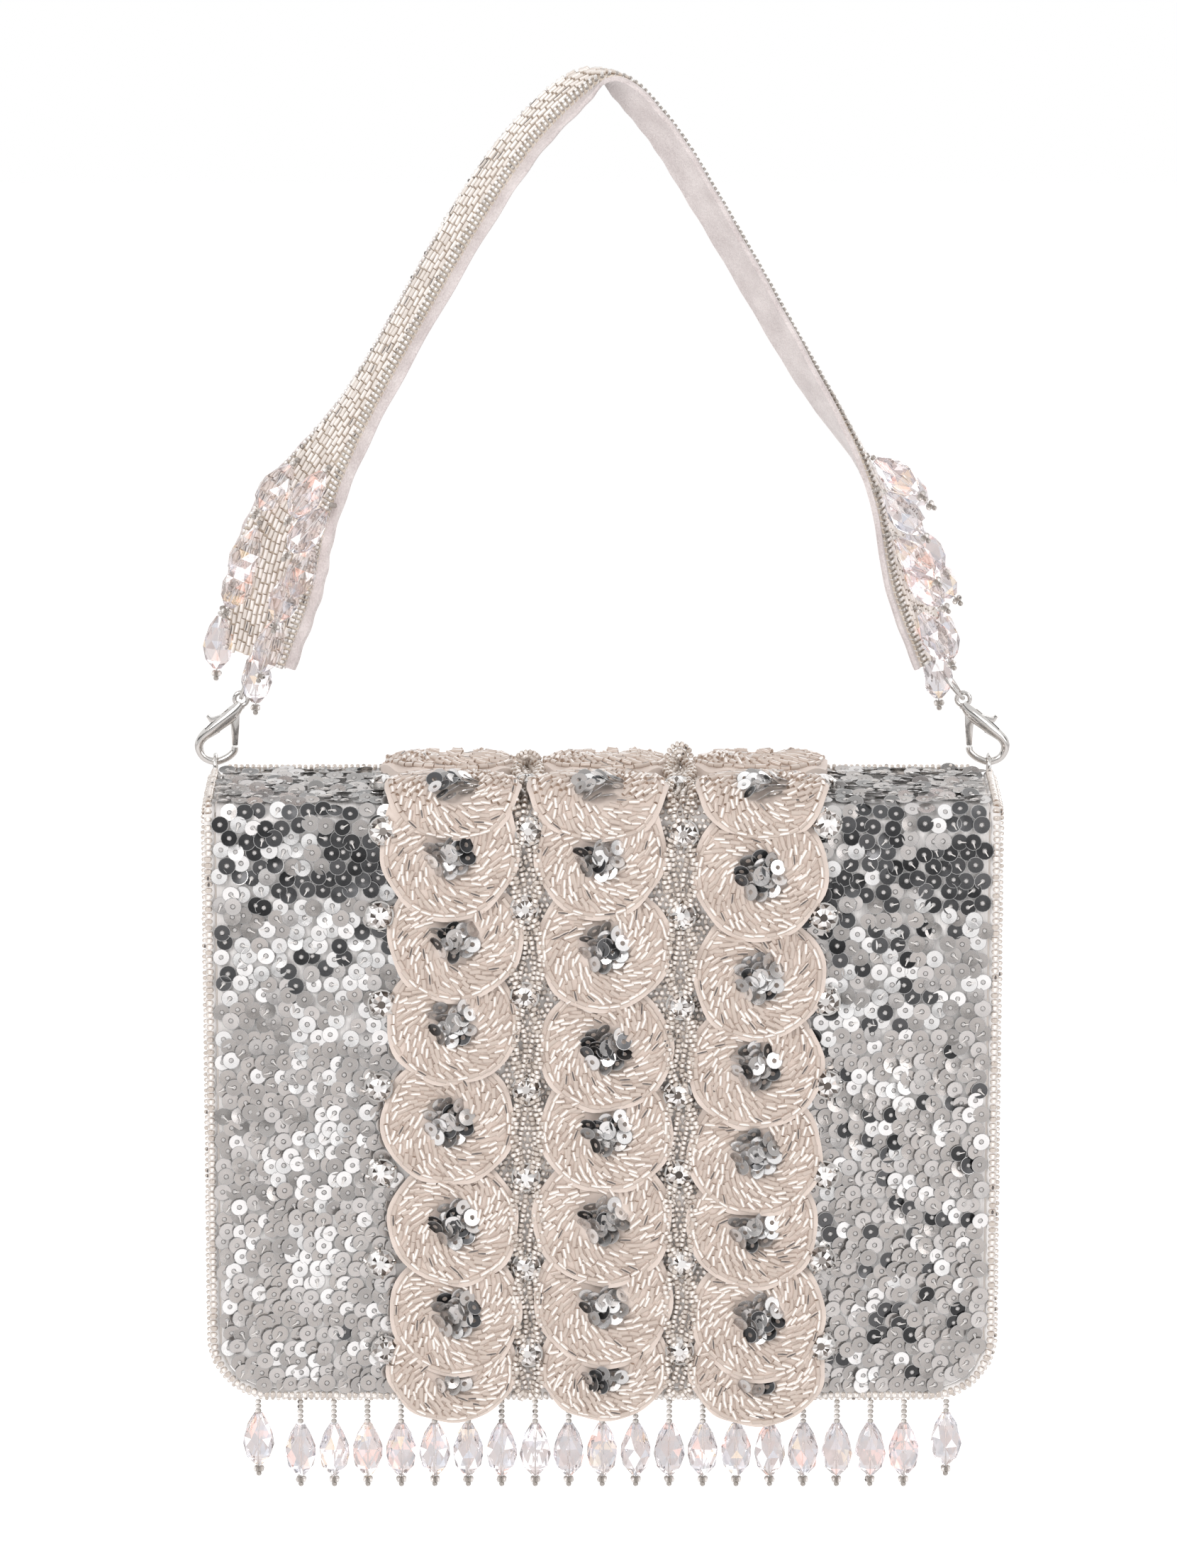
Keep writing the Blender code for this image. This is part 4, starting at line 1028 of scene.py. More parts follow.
def rosette_bugles(word, rosettes, seed):
    """Bugles swirled round each heart, and a ring of them end to end at the rim."""
    rng = random.Random(seed)
    guides = []
    proud = ROSETTE_CLOTH + 0.24 * BUGLE_DIAMETER

    def add(rosette, radius, angle, swirl):
        radius *= wobble(rosette[3], angle) * rosette[2] / ROSETTE_RADIUS
        across, down = radius * math.sin(angle), radius * math.cos(angle)
        if under_upper(rosettes, rosette, across, down, 1.0 * MM):
            return
        heading = angle + swirl
        step = 0.5 * BUGLE_LENGTH
        rise = rng.uniform(-0.15, 0.3) * MM
        one = rosette_place(rosette, across - step * math.sin(heading), down - step * math.cos(heading), proud + rise)
        two = rosette_place(rosette, across + step * math.sin(heading), down + step * math.cos(heading),
                            proud + rise + rng.uniform(-0.25, 0.25) * MM)
        face = flap_normal(rosette[1] + down)
        guides.append(((one + two) / 2, (two - one).normalized(), face, rng.uniform(0.92, 1.04), rng.random()))

    for rosette in rosettes:
        number = rosette[3]
        rings = BUGLE_RINGS if number else INNER_RINGS + BUGLE_RINGS
        for level, radius in enumerate(rings):
            count = round(2 * math.pi * radius * math.cos(BUGLE_SWIRL) / BUGLE_SPACING)
            for index in range(count):
                angle = 2 * math.pi * (index + 0.37 * level + rng.uniform(-0.2, 0.2)) / count
                if gather(number, math.cos(angle)) < 0.5 and (index + level) % 3:
                    continue
                add(rosette, radius + rng.uniform(-0.5, 0.5) * MM, angle, BUGLE_SWIRL + rng.uniform(-0.34, 0.34))
        count = round(2 * math.pi * RIM_RING / (1.07 * BUGLE_LENGTH))
        for index in range(count):
            angle = 2 * math.pi * (index + rng.uniform(-0.06, 0.06)) / count
            add(rosette, RIM_RING, angle, math.pi / 2)
    return sew(f"{word}_rosette_bugles", guides, BUGLE_SHAPE, BUGLE, tilt=0.05, seed=seed)


# A heart's rings of sequins as (count, radius, lean in degrees, height)
HEART_RINGS = ((10, 5.5 * MM, 38, 1.5 * MM), (6, 2.9 * MM, 34, 2.2 * MM), (2, 0.6 * MM, 12, 2.8 * MM))


def rosette_hearts(word, rosettes, seed):
    """A pinwheel of lapped sequins at each rosette's centre; the one at the hinge has none."""
    rng = random.Random(seed)
    guides = []
    side = Vector((1, 0, 0))
    for rosette in rosettes[1:]:
        normal = flap_normal(rosette[1])
        down = normal.cross(side).normalized()
        for count, radius, lean, height in HEART_RINGS:
            for index in range(count):
                angle = 2 * math.pi * (index + rng.uniform(-0.25, 0.25)) / count
                across, fall = radius * math.sin(angle), radius * math.cos(angle)
                if under_upper(rosettes, rosette, across, fall, -1.0 * MM):
                    continue
                out = side * math.sin(angle) + down * math.cos(angle)
                swirl = (0.5 * out + 0.85 * normal.cross(out)).normalized()
                tip = math.radians(lean + rng.uniform(-14, 14))
                axis = normal * math.cos(tip) + swirl * math.sin(tip)
                place = rosette_place(rosette, across, fall, ROSETTE_CLOTH + height)
                # Each heart sequin's tone picks a painted reflection, from dark to white
                tone = rng.choice((0.06, 0.15, 0.4, 0.5, 0.6, 0.68, 0.75, 0.9, 1.0)) + rng.uniform(-0.04, 0.04)
                guides.append((place, axis, out, rng.uniform(0.85, 1.0), min(max(tone, 0), 1)))
    return sew(f"{word}_rosette_hearts", guides, SEQUIN_SHAPE, SEQUIN, tilt=0.1, seed=seed)


# The sequins' painted reflections by band, as (depth below the fold, share of dark ones, how far that drifts from place
# to place, share of white ones among the rest, how far that drifts)
SEQUIN_REFLECTION_BANDS = ((27 * MM, 0.66, 1.1, 0.5, 0.6), (68 * MM, 0.22, 0.8, 0.46, 1.3), (1.0, 0.05, 0.1, 0.2, 0.6))
LEFT_SIDE_REFLECTION = 0.07


def painted_sequin_reflection(x, along, rng):
    """How bright a sequin shows, as a painted reflection: a dark band below the fold, white patches under it, mostly
    grey at the foot, and the left side painted lighter.
    """
    fall = along - TOP_RUN - 0.45 * FOLD_RUN
    dark_pick, white_pick, level = rng.random(), rng.random(), rng.random()
    if fall < 0:
        return 0.3 + 0.45 * level
    dark, dark_drift, white, white_drift = next(band[1:] for band in SEQUIN_REFLECTION_BANDS if fall < band[0])
    dark += dark_drift * noise.noise(Vector((x / (16 * MM), along / (10 * MM), 3.7)))
    white += white_drift * noise.noise(Vector((x / (18 * MM), along / (16 * MM), 8.1)))
    reflection_shift = LEFT_SIDE_REFLECTION if x < 0 else -LEFT_SIDE_REFLECTION
    dark -= reflection_shift
    white += reflection_shift
    if dark_pick < dark:
        return 0.2 * level
    return 0.93 + 0.07 * level if white_pick < white else 0.5 + 0.22 * level


def sequin_guides(side, seed):
    """Sequins in staggered rows over one side of the flap, strung closer and lapped lower down."""
    rng = random.Random(seed)
    guides = []
    pitch_along = 3.9 * MM
    inner = 59.5 * MM
    rows = int((FLAP_END - 4 * MM) / pitch_along) + 1
    for row in range(rows):
        along = 4 * MM + row * pitch_along
        lapped = along > TOP_RUN + 0.42 * (FLAP_END - TOP_RUN)
        pitch_x = 3.7 * MM if lapped else 4.5 * MM
        outer = FLAP_HALF - 1.2 * MM - corner_inset(along, FLAP_END)
        columns = int((outer - inner) / pitch_x) + 1
        for column in range(columns):
            x = outer - (column + 0.5 * (row % 2)) * pitch_x + rng.uniform(-1.2, 1.2) * MM
            if x > outer + 0.4 * MM:
                x = outer
            spot = min(along + rng.uniform(-0.9, 0.9) * MM, FLAP_END - 1.0 * MM)
            loose = 13 if spot < TOP_RUN + 0.6 * FOLD_RUN else 6
            lean = sequin_lean(spot) + rng.gauss(0, loose)
            yaw = rng.gauss(11, 4) if lapped else rng.gauss(0, loose)
            axis = Matrix.Rotation(math.radians(lean), 3, "X") @ flap_normal(spot)
            axis = Matrix.Rotation(math.radians(yaw), 3, "Z") @ axis
            proud = (0.55 + 0.6 * rng.random()) * MM
            thread = Vector((rng.uniform(-1, 1), 0, rng.uniform(-1, 0.2))).normalized()
            guides.append((flap_point(side * x, spot, proud), axis, thread, rng.uniform(0.95, 1.03),
                           painted_sequin_reflection(side * x, spot, rng)))
    return guides


def sequin_knots(guides):
    """The knot in each sequin's hole."""
    return [(place + axis * 0.08 * MM, axis, thread, 1.0, 0.5) for place, axis, thread, size, tone in guides]


def sequin_threads(guides, seed):
    """The stitches that hold some sequins, from the hole over the rim."""
    rng = random.Random(seed)
    threads = []
    for place, axis, thread, size, tone in guides:
        if rng.random() < 0.38:
            flat = (thread - axis * thread.dot(axis)).normalized()
            middle = place + flat * 0.2 * SEQUIN_DIAMETER + axis * 0.3 * MM
            threads.append((middle, flat, axis, 1.0, 0.8))
    return threads


def sequin_lean(along):
    """How the sequins lie on the front: tipped back near the fold, forward lower down."""
    share = max(0.0, (along - TOP_RUN - FOLD_RUN) / (FLAP_END - TOP_RUN - FOLD_RUN))
    return -8.0 * (1 - share) ** 2 + 3.0 * share if along > TOP_RUN + FOLD_RUN else 0.0


# Camera and light

def build_camera():
    data = bpy.data.cameras.new("photo_view")
    data.sensor_fit = "VERTICAL"
    data.sensor_height = 36
    data.lens = data.sensor_height * VIEW_DISTANCE / VIEW_HEIGHT
    data.clip_end = 20
    camera = bpy.data.objects.new("photo_view", data)
    bpy.context.scene.collection.objects.link(camera)
    back = Vector((0, -math.cos(VIEW_ELEVATION), math.sin(VIEW_ELEVATION)))
    camera.location = VIEW_TARGET + back * VIEW_DISTANCE
    camera.rotation_euler = (-back).to_track_quat("-Z", "Y").to_euler()
    bpy.context.scene.camera = camera


FLOOR_Z = -0.62
WORLD_LIGHT = (0.72, 0.70, 0.695)
LAMP_COLOUR = (1.0, 0.965, 0.955)
# The studio in front of the bag, as (height of the direction, brightness) rows from below to above
STUDIO_FRONT = ((0.0, 0.7), (0.3, 0.72), (0.36, 0.95), (0.47, 0.9), (0.53, 0.75), (0.57, 0.12), (0.63, 0.12),
                (0.68, 0.95), (0.88, 0.9), (1.0, 0.7))


def build_world():
    world = bpy.data.worlds.new("studio")
    bpy.context.scene.world = world
    world.use_nodes = True
    nodes, links = world.node_tree.nodes, world.node_tree.links
    background = nodes["Background"]
    where = nodes.new("ShaderNodeTexCoord")
    parts = nodes.new("ShaderNodeSeparateXYZ")
    links.new(where.outputs["Generated"], parts.inputs[0])
    height = share_between(nodes, links, parts.outputs["Z"], -1, 1)
    studio = ramp_colour(nodes, links, height, [(at, (level, level, level)) for at, level in STUDIO_FRONT])
    behind = share_between(nodes, links, parts.outputs["Y"], -0.15, 0.15)
    room = mix_node(nodes, links, behind, studio, (1.0, 1.0, 1.0))
    path = nodes.new("ShaderNodeLightPath")
    shiny = math_node(nodes, links, "MAXIMUM", path.outputs["Is Glossy Ray"], path.outputs["Is Transmission Ray"])
    seen = mix_node(nodes, links, shiny, WORLD_LIGHT, room)
    white = mix_node(nodes, links, path.outputs["Is Camera Ray"], seen, (1.0, 1.0, 1.0))
    links.new(white, background.inputs["Color"])


def add_softbox(name, place, target, width, height, power):
    data = bpy.data.lights.new(name, "AREA")
    data.shape = "RECTANGLE"
    data.size = width
    data.size_y = height
    data.energy = power
    data.color = LAMP_COLOUR
    lamp = bpy.data.objects.new(name, data)
    bpy.context.scene.collection.objects.link(lamp)
    lamp.location = place
    lamp.rotation_euler = (Vector(target) - Vector(place)).to_track_quat("-Z", "Y").to_euler()


def build_floor():
    """A pale floor below the hanging bag; the camera sees it white, with the bag's shadow."""
    bm = bmesh.new()
    bmesh.ops.create_grid(bm, x_segments=8, y_segments=8, size=4)
    bmesh.ops.translate(bm, vec=(0, 0, FLOOR_Z), verts=bm.verts)
    floor, shader, nodes, links = new_finish("pale_floor", Base_Color=(0.9, 0.9, 0.9, 1), Roughness=0.9)
    path = nodes.new("ShaderNodeLightPath")
    lift = math_node(nodes, links, "MULTIPLY", path.outputs["Is Camera Ray"], 0.36)
    shader.inputs["Emission Color"].default_value = (1, 1, 1, 1)
    links.new(lift, shader.inputs["Emission Strength"])
    add_object("studio_floor", mesh_from("studio_floor", bm), floor)


build_camera()
build_world()
build_floor()
add_softbox("key_softbox", (-1.0, -1.3, 0.75), (0, 0, -0.25), 0.8, 0.8, 13)
add_softbox("fill_softbox", (1.2, -1.2, 0.2), (0, 0, -0.25), 0.7, 0.9, 6)
add_softbox("back_softbox", (0.9, 1.5, 0.5), (0, 0, -0.25), 0.9, 0.9, 5)
bpy.context.scene.view_settings.view_transform = "Standard"


# Stones and ropes between the rosettes

STONE_COLUMNS = (-63.8 * MM, -21.7 * MM, 22.4 * MM, 64.6 * MM)
ROPE_COLUMNS = (("left", -21.7 * MM), ("right", 22.5 * MM))
# Half width and height of the loops at each rope's upper end
ROPE_ENDS = {"left": ((3.4 * MM, 3.2 * MM), (1.7 * MM, 2.2 * MM)), "right": ((3.6 * MM, 5.6 * MM), (1.9 * MM, 3.6 * MM))}


def stone_rows():
    first = STONE_FIRST_ROWS[-1] + 24.6 * MM
    return [*STONE_FIRST_ROWS, *(first + ROSETTE_PITCH * index for index in range(6))]


def stone_guides(seed):
    rng = random.Random(seed)
    guides = []
    for x in STONE_COLUMNS:
        for along in stone_rows():
            along += rng.uniform(-1.6, 1.6) * MM
            normal = flap_normal(along)
            axis = (normal + Vector((rng.uniform(-0.2, 0.2), rng.uniform(-0.2, 0.2), 0.1))).normalized()
            place = flap_point(x + rng.uniform(-1.0, 1.0) * MM, along, 3.0 * MM)
            turn = rng.uniform(0, 1.5)
            guides.append((place, axis, Vector((math.cos(turn), 0, math.sin(turn))), 1.0, rng.random()))
    return guides


def gap_guides(column_x, rosettes, seed):
    """Seed beads sewn thickly over the cloth that shows between two columns of rosettes."""
    rng = random.Random(seed)
    guides = []
    pitch = 1.75 * MM
    for row in range(int((FLAP_END - 2 * MM) / pitch)):
        for column in range(-5, 6):
            x = column_x + (column + 0.5 * (row % 2)) * pitch + rng.uniform(-0.3, 0.3) * MM
            along = 2 * MM + row * pitch + rng.uniform(-0.3, 0.3) * MM
            if any(covered(rosette, x, along, 0.8 * MM) for rosette in rosettes):
                continue
            turn = rng.uniform(0, math.pi)
            place = flap_point(x, along, 1.0 * MM)
            ahead = flap_point(x + MM * math.cos(turn), along + MM * math.sin(turn), 1.0 * MM)
            guides.append((place, (ahead - place).normalized(), flap_normal(along), rng.uniform(0.88, 1.05),
                           rng.random()))
    return guides


def strand(route, pitch, rng, rise, twist=0.0, size=1.0):
    """Seed beads threaded along a route of (x, along) points; twist winds two strings round each other."""
    guides = []
    points = [Vector((x, along, 0)) for x, along in route]
    lengths = [(two - one).length for one, two in zip(points, points[1:])]
    count = int(sum(lengths) / pitch)
    strings = (0, math.pi) if twist else (0,)
    for index in range(count):
        travel = index * pitch
        span = 0
        while span < len(lengths) - 1 and travel > lengths[span]:
            travel -= lengths[span]
            span += 1
        heading = (points[span + 1] - points[span]).normalized()
        centre = points[span] + heading * travel
        side = Vector((-heading.y, heading.x, 0))
        for start in strings:
            phase = start + index * pitch * twist
            across = 0.75 * MM * math.cos(phase) if twist else 0
            height = 0.75 * MM * math.sin(phase) if twist else 0
            spot = centre + side * across
            place = flap_point(spot.x, spot.y, rise + height)
            ahead = flap_point(spot.x + heading.x * MM, spot.y + heading.y * MM, rise + height)
            axis = (ahead - place).normalized()
            guides.append((place, axis, flap_normal(spot.y), size * rng.uniform(0.9, 1.08), rng.random()))
    return guides


def rope_guides(x, seed):
    """A chain of ovals of twisted bead strings between the stones, with wavy strings inside."""
    rng = random.Random(seed)
    rows = [2 * MM] + stone_rows() + [FLAP_END + 2.5 * MM]
    guides = []
    steps = 14
    for start, stop in zip(rows, rows[1:]):
        bow = rng.uniform(3.6, 4.6) * MM
        for side in (-1, 1):
            route = []
            for step in range(steps + 1):
                share = step / steps
                route.append((x + side * bow * math.sin(math.pi * share) ** 0.6, start + (stop - start) * share))
            guides += strand(route, 1.35 * MM, rng, 3.4 * MM, twist=800.0)
        for shift in (-1.4, 1.4):
            phase = rng.uniform(0, 6)
            route = []
            for step in range(steps + 1):
                share = step / steps
                sway = (shift + 0.9 * math.sin(2 * math.pi * share + phase)) * MM
                route.append((x + sway, start + (stop - start) * share))
            guides += strand(route, 1.5 * MM, rng, 2.0 * MM)
    return guides


def rope_end(x, width, height, seed):
    """The rope's end at the hinge: a loop of beads that stands up between the rosettes."""
    rng = random.Random(seed)
    count = 9
    loop = []
    for step in range(count + 1):
        angle = math.pi * step / count
        loop.append(flap_point(x - width * math.cos(angle), (5 + 2 * math.sin(angle)) * MM,
                               3.6 * MM + height * math.sin(angle)))
    return [(one, (two - one).normalized(), -BACKWARD, rng.uniform(0.95, 1.1), rng.random())
            for one, two in zip(loop, loop[1:])]


# The flap's beaded edge

def edge_path():
    """The flap's edge from its left hinge end round to the right one, as (place, out, front) rows."""
    reach = FLAP_HALF + EDGE_OFFSET
    straight = FLAP_END - FLAP_CORNER
    middle = Vector((FLAP_HALF - FLAP_CORNER, EDGE_Y, FLAP_BOTTOM + FLAP_CORNER))
    half = []
    for step in range(160):
        along = EDGE_ROLL + (straight - EDGE_ROLL) * step / 160
        half.append((flap_point(reach, along, -FLAP_WALL / 2), Vector((1, 0, 0)), flap_normal(along)))
    for step in range(17):
        angle = math.pi / 2 * step / 16
        out = Vector((math.cos(angle), 0, -math.sin(angle)))
        half.append((middle + out * (FLAP_CORNER + EDGE_OFFSET), out, Vector((0, -1, 0))))
    mirror = Vector((-1, 1, 1))
    left = [(place * mirror, out * mirror, front) for place, out, front in half]
    return left + half[::-1]


def resample(rows, pitch):
    """Rows at even steps along a path, as (place, heading, ...); what follows each place is blended."""
    found = []
    travel = 0.0
    for one, two in zip(rows, rows[1:]):
        length = (two[0] - one[0]).length
        if length < 1e-9:
            continue
        heading = (two[0] - one[0]) / length
        while travel < length:
            share = travel / length
            rest = [a + (b - a) * share for a, b in zip(one[1:], two[1:])]
            found.append((one[0] + heading * travel, heading, *rest))
            travel += pitch
        travel -= length
    return found


def edge_guides(out_shift, front_shift, pitch, size, seed):
    rng = random.Random(seed)
    guides = []
    for place, heading, out, front in resample(edge_path(), pitch):
        spot = place + out * (out_shift + rng.uniform(-0.12, 0.12) * MM) + front * front_shift
        guides.append((spot, heading, front, size * rng.uniform(0.93, 1.05), rng.random()))
    return guides


def hinge_guides(seed):
    """Seed beads strung along the flap's hinge line, clear of the rosettes."""
    rng = random.Random(seed)
    reach = FLAP_HALF - 2 * MM
    guides = []
    for index in range(int(2 * reach / (1.7 * MM))):
        x = -reach + index * 1.7 * MM
        if abs(x) > 63 * MM:
            guides.append((flap_point(x, 1.4 * MM, 1.1 * MM), Vector((1, 0, 0)), UP, rng.uniform(0.95, 1.08), rng.random()))
    return guides


# Drops

def drop_beads(top, down, stem_length, rng):
    """The stem's seed beads above a drop and the cluster at its tip."""
    guides = []
    side = down.orthogonal().normalized()
    other = down.cross(side)
    count = max(1, round(stem_length / (1.55 * MM)))
    for index in range(count):
        place = top + down * stem_length * (index + 0.5) / count
        guides.append((place, down, side, rng.uniform(0.92, 1.02), rng.random()))
    tip = top + down * (stem_length + DROP_LENGTH)
    for index in range(4):
        angle = 2 * math.pi * (index + rng.uniform(-0.1, 0.1)) / 4
        out = side * math.cos(angle) + other * math.sin(angle)
        place = tip + down * 1.5 * MM + out * 0.95 * MM
        guides.append((place, out.cross(down), out, 0.92, rng.random()))
    guides.append((tip + down * 3.0 * MM, side, down, 0.9, rng.random()))
    return guides


def drop_thread(bm, top, down, length):
    tube(bm, [top, top + down * length], 0.22 * MM, 6)


def dress_fringe():
    rng = random.Random(41)
    places = [-CORNER_DROP_X] + [FRINGE_PITCH * (index - 9) for index in range(19)] + [CORNER_DROP_X]
    down = Vector((0, 0, -1))
    for number, x in enumerate(places, start=1):
        body = f"fringe_drop_{number:02d}"
        corner = number in (1, 21)
        stem = CORNER_STEM_LENGTH if corner else STEM_LENGTH
        low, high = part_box(body)
        top = Vector((x, EDGE_Y, high[2]))
        glass_top = top + down * stem
        turn = rng.uniform(0, math.pi / 4)
        face = Vector((math.cos(turn), math.sin(turn), 0))
        glass = sew(f"fringe_glass_{number:02d}", [(glass_top, UP, face, 1.0, rng.random())], DROP_SHAPE, CRYSTAL)
        beads = sew(f"fringe_beads_{number:02d}", drop_beads(top, down, stem, rng), SEED_SHAPE, SILVER_BEAD)
        thread_bm = bmesh.new()
        drop_thread(thread_bm, top, down, stem + DROP_LENGTH + 2 * MM)
        thread = add_object(f"fringe_thread_{number:02d}", mesh_from("thread", thread_bm, True), THREAD)
        for piece, slot in ((glass, "crystal"), (beads, "seed_beads"), (thread, "white_velvet")):
            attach(piece, body)
        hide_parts(body)


# Strap

def smooth_points(points, per_span):
    """Points on a smooth curve through the given ones, with per_span steps between neighbours."""
    points = [Vector(p) for p in points]
    ends = [2 * points[0] - points[1]] + points + [2 * points[-1] - points[-2]]
    found = []
    for before, start, end, after in zip(ends, ends[1:], ends[2:], ends[3:]):
        for step in range(per_span):
            t = step / per_span
            found.append(0.5 * (2 * start + (end - before) * t
                                + (2 * before - 5 * start + 4 * end - after) * t * t
                                + (3 * start - before - 3 * end + after) * t ** 3))
    found.append(points[-1])
    return found


def limb_height(down):
    return -STRAP_CROWN - STRAP_DROP * down


def band_width(down):
    """Width at a share of the drop: even, then widening to the paddle and drawn in at its end."""
    if down < PADDLE_START:
        return BAND_WIDTH
    if down < PADDLE_WIDEST:
        share = (down - PADDLE_START) / (PADDLE_WIDEST - PADDLE_START)
        return BAND_WIDTH + (PADDLE_WIDTH - BAND_WIDTH) * math.sin(share * math.pi / 2)
    share = (down - PADDLE_WIDEST) / (1 - PADDLE_WIDEST)
    return PADDLE_WIDTH + (PADDLE_END_WIDTH - PADDLE_WIDTH) * share


def strap_frames(per_span):
    """Frames along the strap: place, across (towards the back), outward normal and width."""
    rows = []
    for side, inset, route in ((-1, LEFT_END_INSET, LEFT_ROUTE[::-1]), (1, RIGHT_END_INSET, RIGHT_ROUTE)):
        for along, down, turn in route:
            rows.append(((side * (EYE_X - inset) * along, 0, limb_height(down)), turn, band_width(down)))
    rows.insert(len(LEFT_ROUTE), ((0, 0, STRAP_SEAT), APEX_TURN, BAND_WIDTH))
    places = smooth_points([place for place, _, _ in rows], per_span)
    turns = smooth_points([(turn, width, 0) for _, turn, width in rows], per_span)
    frames = []
    for index, place in enumerate(places):
        ahead = places[min(index + 1, len(places) - 1)]
        behind = places[max(index - 1, 0)]
        along = (ahead - behind).normalized()
        turn = math.radians(turns[index].x)
        back = Vector((-math.sin(turn), math.cos(turn), 0))
        across = (back - along * back.dot(along)).normalized()
        frames.append((place, across, along.cross(across), turns[index].y))
    return frames


def loft(name, sections, finish, smooth=True):
    """A closed solid through sections of equal point counts."""
    bm = bmesh.new()
    rings = [[bm.verts.new(point) for point in section] for section in sections]
    count = len(rings[0])
    for ring, following in zip(rings, rings[1:]):
        for index in range(count):
            other = (index + 1) % count
            bm.faces.new((ring[index], ring[other], following[other], following[index]))
    bm.faces.new(rings[0][::-1])
    bm.faces.new(rings[-1])
    bmesh.ops.recalc_face_normals(bm, faces=bm.faces)
    return add_object(name, mesh_from(name, bm, smooth), finish)


PAD_EDGE = 0.7 * MM
PAD_CROWN = 1.5 * MM


def pad_height(offset, half):
    """The felt pad's height over its underside at an offset from its middle."""
    return PAD_EDGE + (PAD_CROWN - PAD_EDGE) * (1 - min(abs(offset) / half, 1) ** 2)


def pad_section(frame):
    place, across, outward, width = frame
    half = width / 2
    shape = [(-half, 0), (half, 0)]
    for step in range(9):
        offset = half * (1 - step / 4)
        shape.append((offset, pad_height(offset, half)))
    return [place + across * a + outward * h for a, h in shape]


def velvet_section(frame, index):
    place, across, outward, width = frame
    inner = 1.6 * MM if place.x < 0 else 0.4 * MM
    front = width / 2 + BACKING_MARGIN + inner + 0.25 * MM * math.sin(0.9 * index)
    back = width / 2 + BACKING_MARGIN + 0.25 * MM * math.sin(1.3 * index + 1)
    top = 0.1 * MM
    low = -0.3 * MM - BACKING_THICKNESS
    middle = (top + low) / 2
    shape = ((back - 0.5 * MM, low), (-front + 0.5 * MM, low), (-front, middle), (-front + 0.5 * MM, top),
             (back - 0.5 * MM, top), (back, middle))
    return [place + across * a + outward * h for a, h in shape]


def strap_bugles(frames, seed):
    """Strings of bugles along the strap, more of them where it widens."""
    rng = random.Random(seed)
    guides = []
    for lane in range(-9, 10):
        offset = lane * STRAP_ROW_PITCH
        travel = rng.uniform(0, BUGLE_LENGTH)
        for place, heading, across, outward, width in resample(frames, 0.25 * MM):
            travel -= 0.25 * MM
            half = width / 2
            if travel > 0 or not -half + 2.3 * MM < offset < half - 1.3 * MM:
                continue
            travel = 0.98 * BUGLE_LENGTH + rng.uniform(0, 0.25) * MM
            rise = pad_height(offset, half) + 0.45 * BUGLE_DIAMETER + rng.uniform(-0.1, 0.12) * MM
            spot = place + across * (offset + rng.uniform(-0.15, 0.15) * MM) + outward * rise
            axis = (heading + across * rng.uniform(-0.08, 0.08)).normalized()
            guides.append((spot, axis, outward, rng.uniform(0.88, 0.95), rng.random()))
    return guides


def strap_seeds(frames, seed):
    """Seed beads strung along the strap's edges."""
    rng = random.Random(seed)
    guides = []
    for side, inset, low_down in ((-1, 0.5 * MM, 0), (-1, 1.9 * MM, 0), (1, 0.6 * MM, 0)):
        for place, heading, across, outward, width in resample(frames, 1.62 * MM):
            offset = side * (width / 2 - inset)
            rise = pad_height(offset, width / 2) + 0.5 * MM
            spot = place + across * (offset + rng.uniform(-0.12, 0.12) * MM) + outward * rise
            guides.append((spot, heading, outward, rng.uniform(0.86, 1.0), rng.random()))
    return guides


def strap_stitches(frames):
    """Slanted whip stitches that close the felt's edges over the velvet."""
    guides = []
    for side in (-1, 1):
        for place, heading, across, outward, width in resample(frames, 1.9 * MM):
            spot = place + across * side * (width / 2 + 0.1 * MM) + outward * 0.25 * MM
            axis = (outward + heading * 0.5).normalized()
            guides.append((spot, axis, heading, 1.0, 0.6))
    return guides


# Paddle drops as (share of the drop, offset across, hang): hang 0 lies on the felt, 1 hangs straight down
PADDLE_DROPS = ((0.681, 6.4, 0.05), (0.65, -5.2, 0.05), (0.70, -12, 0.1), (0.78, 7.8, 0.1), (0.769, -12, 0.1),
                (0.827, 6.9, 0.1), (0.818, -8.4, 0.1), (0.912, -7.0, 0.2), (0.935, 12.5, 0.8), (0.975, -2.2, 0.9))
PADDLE_SPLAY = {-1: (8, 18), 1: (18, 32)}


def paddle_drops(frames, side, rng):
    limb = [frame for frame in frames if frame[0].x * side > 0]
    glass, beads = [], []
    threads = bmesh.new()
    for share, offset, hang in PADDLE_DROPS:
        place, across, outward, width = min(limb, key=lambda row: abs(row[0].z - limb_height(share)))
        along = across.cross(outward).normalized()
        if along.z > 0:
            along = -along
        splay = math.radians(rng.uniform(*PADDLE_SPLAY[side]))
        lying = along * math.cos(splay) + outward * math.sin(splay) + across * rng.uniform(-0.12, 0.12)
        down = lying.lerp(Vector((0, 0, -1)), hang).normalized()
        top = place + across * offset * MM + outward * (pad_height(offset * MM, width / 2) + 2.2 * MM)
        out = (outward - down * outward.dot(down)).normalized()
        stem = 1.7 * MM
        glass.append((top + down * stem, -down, out, 1.0, rng.random()))
        beads += drop_beads(top, down, stem, rng)
        drop_thread(threads, top, down, stem + DROP_LENGTH + 2 * MM)
        for step in range(3):
            spot = top - outward * (0.5 + 0.9 * step) * MM - down * 0.6 * MM
            beads.append((spot, outward, across, 0.9, rng.random()))
    return glass, beads, threads


